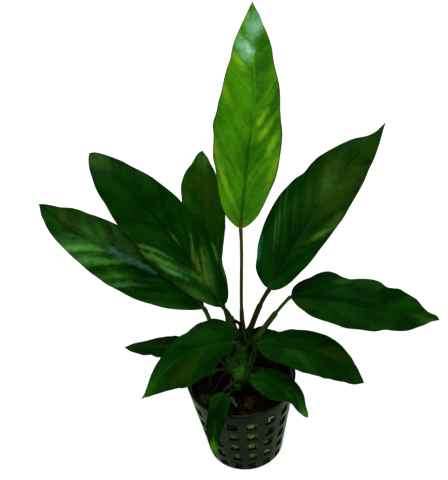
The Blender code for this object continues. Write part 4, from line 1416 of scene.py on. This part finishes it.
def creeping_stem_finish():
    """Green skin with pores, with a painted highlight at one spot, and dark at the old end and at the back.
    """
    finish = Finish("creeping_stem_skin")
    place = finish.place()
    x, y, _ = finish.parts(place)
    skin = finish.noise(place, 300.0, 3.0, 0.6)
    fine = finish.noise(place, 1500.0, 3.0, 0.6)
    pores = finish.cells(place, 700.0)
    colour = finish.two_tone(skin, 0.38, 0.66, (0.003, 0.018, 0.002), (0.012, 0.060, 0.003))
    # A painted highlight: bright green laid round one spot near the front of the stem.
    aside, along = x - PAINTED_HIGHLIGHT_SPOT[0] * MM, y - PAINTED_HIGHLIGHT_SPOT[1] * MM
    from_highlight_spot = (aside * aside + along * along) ** 0.5 + (skin - 0.5) * 0.006
    colour = finish.laid(colour, (0.045, 0.19, 0.010), 0.8, from_highlight_spot, 0.0045, 0.001)
    colour = finish.laid(colour, (0.05, 0.13, 0.03), 0.4, fine, 0.62, 0.78)
    colour = finish.laid(colour, (0.006, 0.009, 0.003), 0.85, y + (skin - 0.5) * 0.004, -0.0105, -0.0130)
    colour = finish.laid(colour, BROWN, 0.4, pores, 0.25, 0.05)
    colour = finish.laid(colour, (0.015, 0.04, 0.006), 0.6, y, 0.000, 0.006)
    return finish.wear(
        Base_Color=colour, Roughness=0.42 + (fine - 0.5) * 0.3,
        Normal=finish.bump(skin * 1.2 + fine * 0.5 + pores * 0.6, 0.6, 0.35), Specular_IOR_Level=0.30,
        Specular_Tint=GREEN_GLOSS)


def bark_finish(name, dark, light, gloss):
    """Roots and dead remains: two tones in long streaks, with a rough skin."""
    finish = Finish(name)
    place = finish.place()
    streak = finish.noise(place, 420.0, 3.0, 0.65)
    fine = finish.noise(place, 1900.0, 2.0, 0.6)
    colour = finish.two_tone(streak, 0.36, 0.68, dark, light)
    colour = finish.laid(colour, finish.tinted(colour, (0.4, 0.4, 0.4)), 0.4, fine, 0.6, 0.8)
    return finish.wear(
        Base_Color=colour, Roughness=gloss + (fine - 0.5) * 0.3,
        Normal=finish.bump(streak + fine * 0.6, 0.7, 0.3), Specular_IOR_Level=0.25)


def wool_finish():
    """Wet rock wool: olive and yellow at the front slots, painted shade makes it nearly black at the sides,
    at the back, low down and high on the left, and it is nearly black on top.
    """
    finish = Finish("rock_wool_plug")
    place = finish.place()
    x, y, z = finish.parts(place)
    wisps = finish.noise(finish.scaled(place, (1.0, 1.0, 2.6)), 330.0, 4.0, 0.65, 0.6)
    fine = finish.noise(place, 1700.0, 3.0, 0.65)
    patch = finish.noise(place, 120.0, 2.0)
    colour = finish.two_tone(wisps, 0.35, 0.68, (0.045, 0.056, 0.006), (0.21, 0.25, 0.024))
    colour = finish.laid(colour, (0.035, 0.048, 0.010), 0.5, x, -0.002, -0.004)
    colour = finish.laid(colour, (0.10, 0.060, 0.015), 0.4, patch, 0.50, 0.66)
    # Painted shade: nearly black at the sides, at the back, low down all round and high on the left.
    beside = finish.step(x - 0.0075, 0.0, 0.005) + finish.step(x + 0.0105, 0.0, -0.004)
    behind = finish.step(y, -0.009, -0.002)
    painted_shade_low_and_high_left = finish.step(z, 0.010, 0.007) + finish.step(z, 0.035, 0.038) * finish.step(x, -0.002, -0.004)
    colour = finish.laid(colour, (0.003, 0.004, 0.002), 0.97, beside + behind + painted_shade_low_and_high_left, 0.0, 1.0)
    dark_top = finish.two_tone(wisps, 0.42, 0.70, (0.0022, 0.0018, 0.0016), (0.022, 0.013, 0.006))
    colour = finish.two_tone(z, 0.0440, 0.0462, colour, dark_top)
    colour = finish.laid(colour, finish.tinted(colour, (1.9, 1.8, 1.6)), 0.35, fine, 0.58, 0.8)
    return finish.wear(
        Base_Color=colour, Roughness=0.9 + (fine - 0.5) * 0.15,
        Normal=finish.bump(wisps * 1.2 + fine, 0.9, 0.5), Specular_IOR_Level=0.2)


def lump_finish():
    """Torn lumps: orange-brown where their tone is high, and nearly black where it is low."""
    finish = Finish("torn_wool_lumps")
    place = finish.place()
    tone = finish.node("ShaderNodeAttribute", {"attribute_name": "tone"}, output="Fac")
    wisps = finish.noise(place, 480.0, 4.0, 0.65, 0.5)
    fine = finish.noise(place, 2000.0, 3.0, 0.6)
    orange = finish.two_tone(wisps, 0.36, 0.66, (0.022, 0.015, 0.001), (0.105, 0.075, 0.003))
    black = finish.two_tone(wisps, 0.40, 0.70, (0.003, 0.0025, 0.001), (0.020, 0.015, 0.004))
    colour = finish.two_tone(tone, 0.45, 1.0, black, orange)
    colour = finish.laid(colour, finish.tinted(colour, (2.0, 1.9, 1.7)), 0.4, fine, 0.60, 0.8)
    return finish.wear(
        Base_Color=colour, Roughness=0.85 + (fine - 0.5) * 0.2,
        Normal=finish.bump(wisps * 1.2 + fine, 0.9, 0.5), Specular_IOR_Level=0.12)


def fibre_finish(name, dark, light):
    finish = Finish(name)
    place = finish.place()
    tone = finish.noise(place, 160.0, 2.0, 0.6)
    fine = finish.noise(place, 2600.0, 1.0)
    return finish.wear(
        Base_Color=finish.two_tone(tone, 0.4, 0.64, dark, light), Roughness=0.7 + (fine - 0.5) * 0.3,
        Normal=finish.bump(fine, 0.3, 0.05), Specular_IOR_Level=0.3)


def pot_finish():
    """Dark grey-green moulded plastic, slightly mottled, scuffed and dusty, and paler near its edge."""
    finish = Finish("moulded_plastic")
    place = finish.place()
    x, y, z = finish.parts(place)
    cloud = finish.noise(place, 55.0, 3.0, 0.6)
    grain = finish.noise(place, 2400.0, 2.0, 0.6)
    dust = finish.noise(place, 420.0, 4.0, 0.7)
    scuffs = finish.noise(finish.scaled(place, (1.0, 1.0, 0.12)), 1500.0, 3.0, 0.7)
    colour = finish.two_tone(cloud, 0.36, 0.66, (0.0014, 0.0044, 0.0010), (0.0056, 0.0130, 0.0036))
    colour = finish.laid(colour, (0.024, 0.036, 0.018), 0.5, dust, 0.56, 0.78)
    colour = finish.laid(colour, (0.046, 0.066, 0.050), 0.35, scuffs, 0.66, 0.80)
    outer = 1 - finish.step(x * x + y * y, 0.00058, 0.00066)
    colour = finish.mix(finish.step(z, 0.040, 0.052) * outer * 0.3, colour, (0.006, 0.009, 0.008))
    rough = 0.46 + (dust - 0.5) * 0.3 + (grain - 0.5) * 0.12
    return finish.wear(
        Base_Color=colour, Roughness=rough, Normal=finish.bump(grain * 0.5 + dust, 0.35, 0.12),
        Specular_IOR_Level=0.25, Specular_Tint=(0.7, 1.0, 0.62), Sheen_Weight=0.55, Sheen_Roughness=0.29,
        Sheen_Tint=(0.75, 1.0, 0.62))


# The studio.


def studio_finish(name, scale, low, high, rough, glow, shine):
    """A very pale matt finish with a hint of cloud, lit a little from within."""
    finish = Finish(name)
    colour = finish.mix(finish.noise(finish.place(), scale, 2.0), low, high)
    return finish.wear(Base_Color=colour, Roughness=rough, Emission_Color=colour, Emission_Strength=glow,
                       Specular_IOR_Level=shine)


def add_floor():
    deselect()
    bpy.ops.mesh.primitive_plane_add(size=FLOOR_SIZE, location=(0, 0, -FLOOR_DROP))
    floor = bpy.context.object
    floor.name = "floor"
    floor.data.materials.append(
        studio_finish("studio_floor", 6.0, (0.80, 0.80, 0.80), (0.84, 0.84, 0.84), 0.9, 0.95, 0.1))
    floor.visible_glossy = False


def add_backdrop():
    """A pale dome far behind everything, which only the camera sees."""
    deselect()
    bpy.ops.mesh.primitive_uv_sphere_add(segments=48, ring_count=24, radius=BACKDROP_RADIUS)
    backdrop = bpy.context.object
    backdrop.name = "backdrop"
    smooth(backdrop)
    backdrop.data.materials.append(
        studio_finish("studio_backdrop", 0.05, (0.80, 0.81, 0.81), (0.84, 0.84, 0.84), 1.0, 0.55, 0.0))
    backdrop.visible_diffuse = False
    backdrop.visible_glossy = False
    backdrop.visible_shadow = False


# Softboxes: degrees from the front towards the right and above the horizon, distance and size both ways
# in metres, power, and whether they show in the gloss.
SOFTBOXES = (
    ("overhead", 180, 74, 0.95, (0.55, 0.42), 2.2, True),
    ("left", -84, 46, 0.85, (0.30, 0.42), 1.0, True),
    ("right_front", 52, 44, 0.95, (0.22, 0.34), 0.8, True),
    ("near_camera", -16, 31, 1.1, (0.26, 0.20), 0.7, True),
    ("fill", 0, 60, 1.3, (1.2, 1.2), 4.0, False),
    ("rear", 180, 22, 1.2, (0.9, 0.6), 2.2, False),
)
LIGHT_AIM = Vector((0, 15, 105))
ROOM_COLOUR = (1.0, 1.0, 0.95, 1)
ROOM_LIGHT = 0.03


def add_light():
    for name, turn, rise, distance, size, power, glossy in SOFTBOXES:
        turn, rise = math.radians(turn), math.radians(rise)
        away = Vector((*around(turn, math.cos(rise)), math.sin(rise)))
        data = bpy.data.lights.new(name, "AREA")
        data.shape = "RECTANGLE"
        data.size, data.size_y = size
        data.energy = power
        light = bpy.data.objects.new(name, data)
        light.location = LIGHT_AIM * MM + away * distance
        light.rotation_euler = away.to_track_quat("Z", "Y").to_euler()
        light.visible_glossy = glossy
        bpy.context.scene.collection.objects.link(light)
    world = bpy.data.worlds.new("studio")
    world.use_nodes = True
    background = world.node_tree.nodes["Background"]
    background.inputs["Color"].default_value = ROOM_COLOUR
    background.inputs["Strength"].default_value = ROOM_LIGHT
    bpy.context.scene.world = world
    bpy.context.scene.view_settings.view_transform = "Standard"


def add_camera():
    """The camera looks down at the plant, with the pot's centre at its own pixel of the picture."""
    rise = Vector((0, math.sin(CAMERA_DOWN), math.cos(CAMERA_DOWN)))
    forward = Vector((0, math.cos(CAMERA_DOWN), -math.sin(CAMERA_DOWN)))
    level = Vector((1, 0, 0))
    right = level * math.cos(CAMERA_LEAN) - rise * math.sin(CAMERA_LEAN)
    up = level * math.sin(CAMERA_LEAN) + rise * math.cos(CAMERA_LEAN)
    across = (ORIGIN_PIXEL[0] - PICTURE_SIZE[0] / 2) / FOCAL_PIXELS * ORIGIN_DEPTH
    down = (ORIGIN_PIXEL[1] - PICTURE_SIZE[1] / 2) / FOCAL_PIXELS * ORIGIN_DEPTH
    data = bpy.data.cameras.new("camera")
    data.sensor_width = SENSOR
    data.lens = FOCAL_PIXELS / max(PICTURE_SIZE) * SENSOR
    data.clip_start, data.clip_end = VIEW_RANGE
    camera = bpy.data.objects.new("camera", data)
    turned = Matrix((right, up, -forward)).transposed()
    to_pot = right * across - up * down + forward * ORIGIN_DEPTH
    camera.matrix_world = Matrix.Translation(-to_pot * MM) @ turned.to_4x4()
    bpy.context.scene.collection.objects.link(camera)
    bpy.context.scene.camera = camera


def main():
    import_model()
    add_camera()
    add_light()
    add_floor()
    add_backdrop()
    undersides = {slot: leaf_under_finish(slot + "_underside", *row) for slot, row in UNDERSIDES.items()}
    for leaf in LEAVES:
        add_blade(leaf, leaf_upper_finish(leaf), undersides[leaf_slot(leaf)])
        add_stalk(leaf, stalk_finish(leaf))
    add_creeping_stem(creeping_stem_finish())
    add_roots("roots", standing_roots(), 0.6, 3.7, bark_finish(
        "old_root_skin", (0.012, 0.016, 0.006), (0.045, 0.050, 0.018), 0.6))
    add_roots("young_roots", YOUNG_ROOTS, 0.55, 5.1, bark_finish(
        "young_root_skin", (0.006, 0.010, 0.004), (0.040, 0.050, 0.024), 0.55))
    add_roots("pale_growing_ends", PALE_ENDS, 0.7, 2.3, bark_finish(
        "pale_growing_skin", (0.025, 0.06, 0.025), (0.10, 0.17, 0.09), 0.5), PALE_END_STEPS)
    add_roots("old_stalk_remains", REMAINS, 0.7, 8.3, bark_finish(
        "dead_stalk_skin", (0.002, 0.0015, 0.001), (0.014, 0.008, 0.004), 0.6))
    add_scales(bark_finish("scale_skin", (0.004, 0.022, 0.002), (0.022, 0.075, 0.006), 0.5))
    add_pot(pot_finish())
    add_wool(wool_finish())
    add_lumps(lump_finish())
    add_top_fibres(fibre_finish("dark_fibres", (0.006, 0.004, 0.002), (0.05, 0.03, 0.012)))
    add_slot_fibres(fibre_finish("olive_fibres", (0.05, 0.05, 0.012), (0.20, 0.19, 0.05)))
    add_pale_tufts(fibre_finish("pale_fibres", (0.45, 0.42, 0.33), (0.75, 0.72, 0.62)))


main()
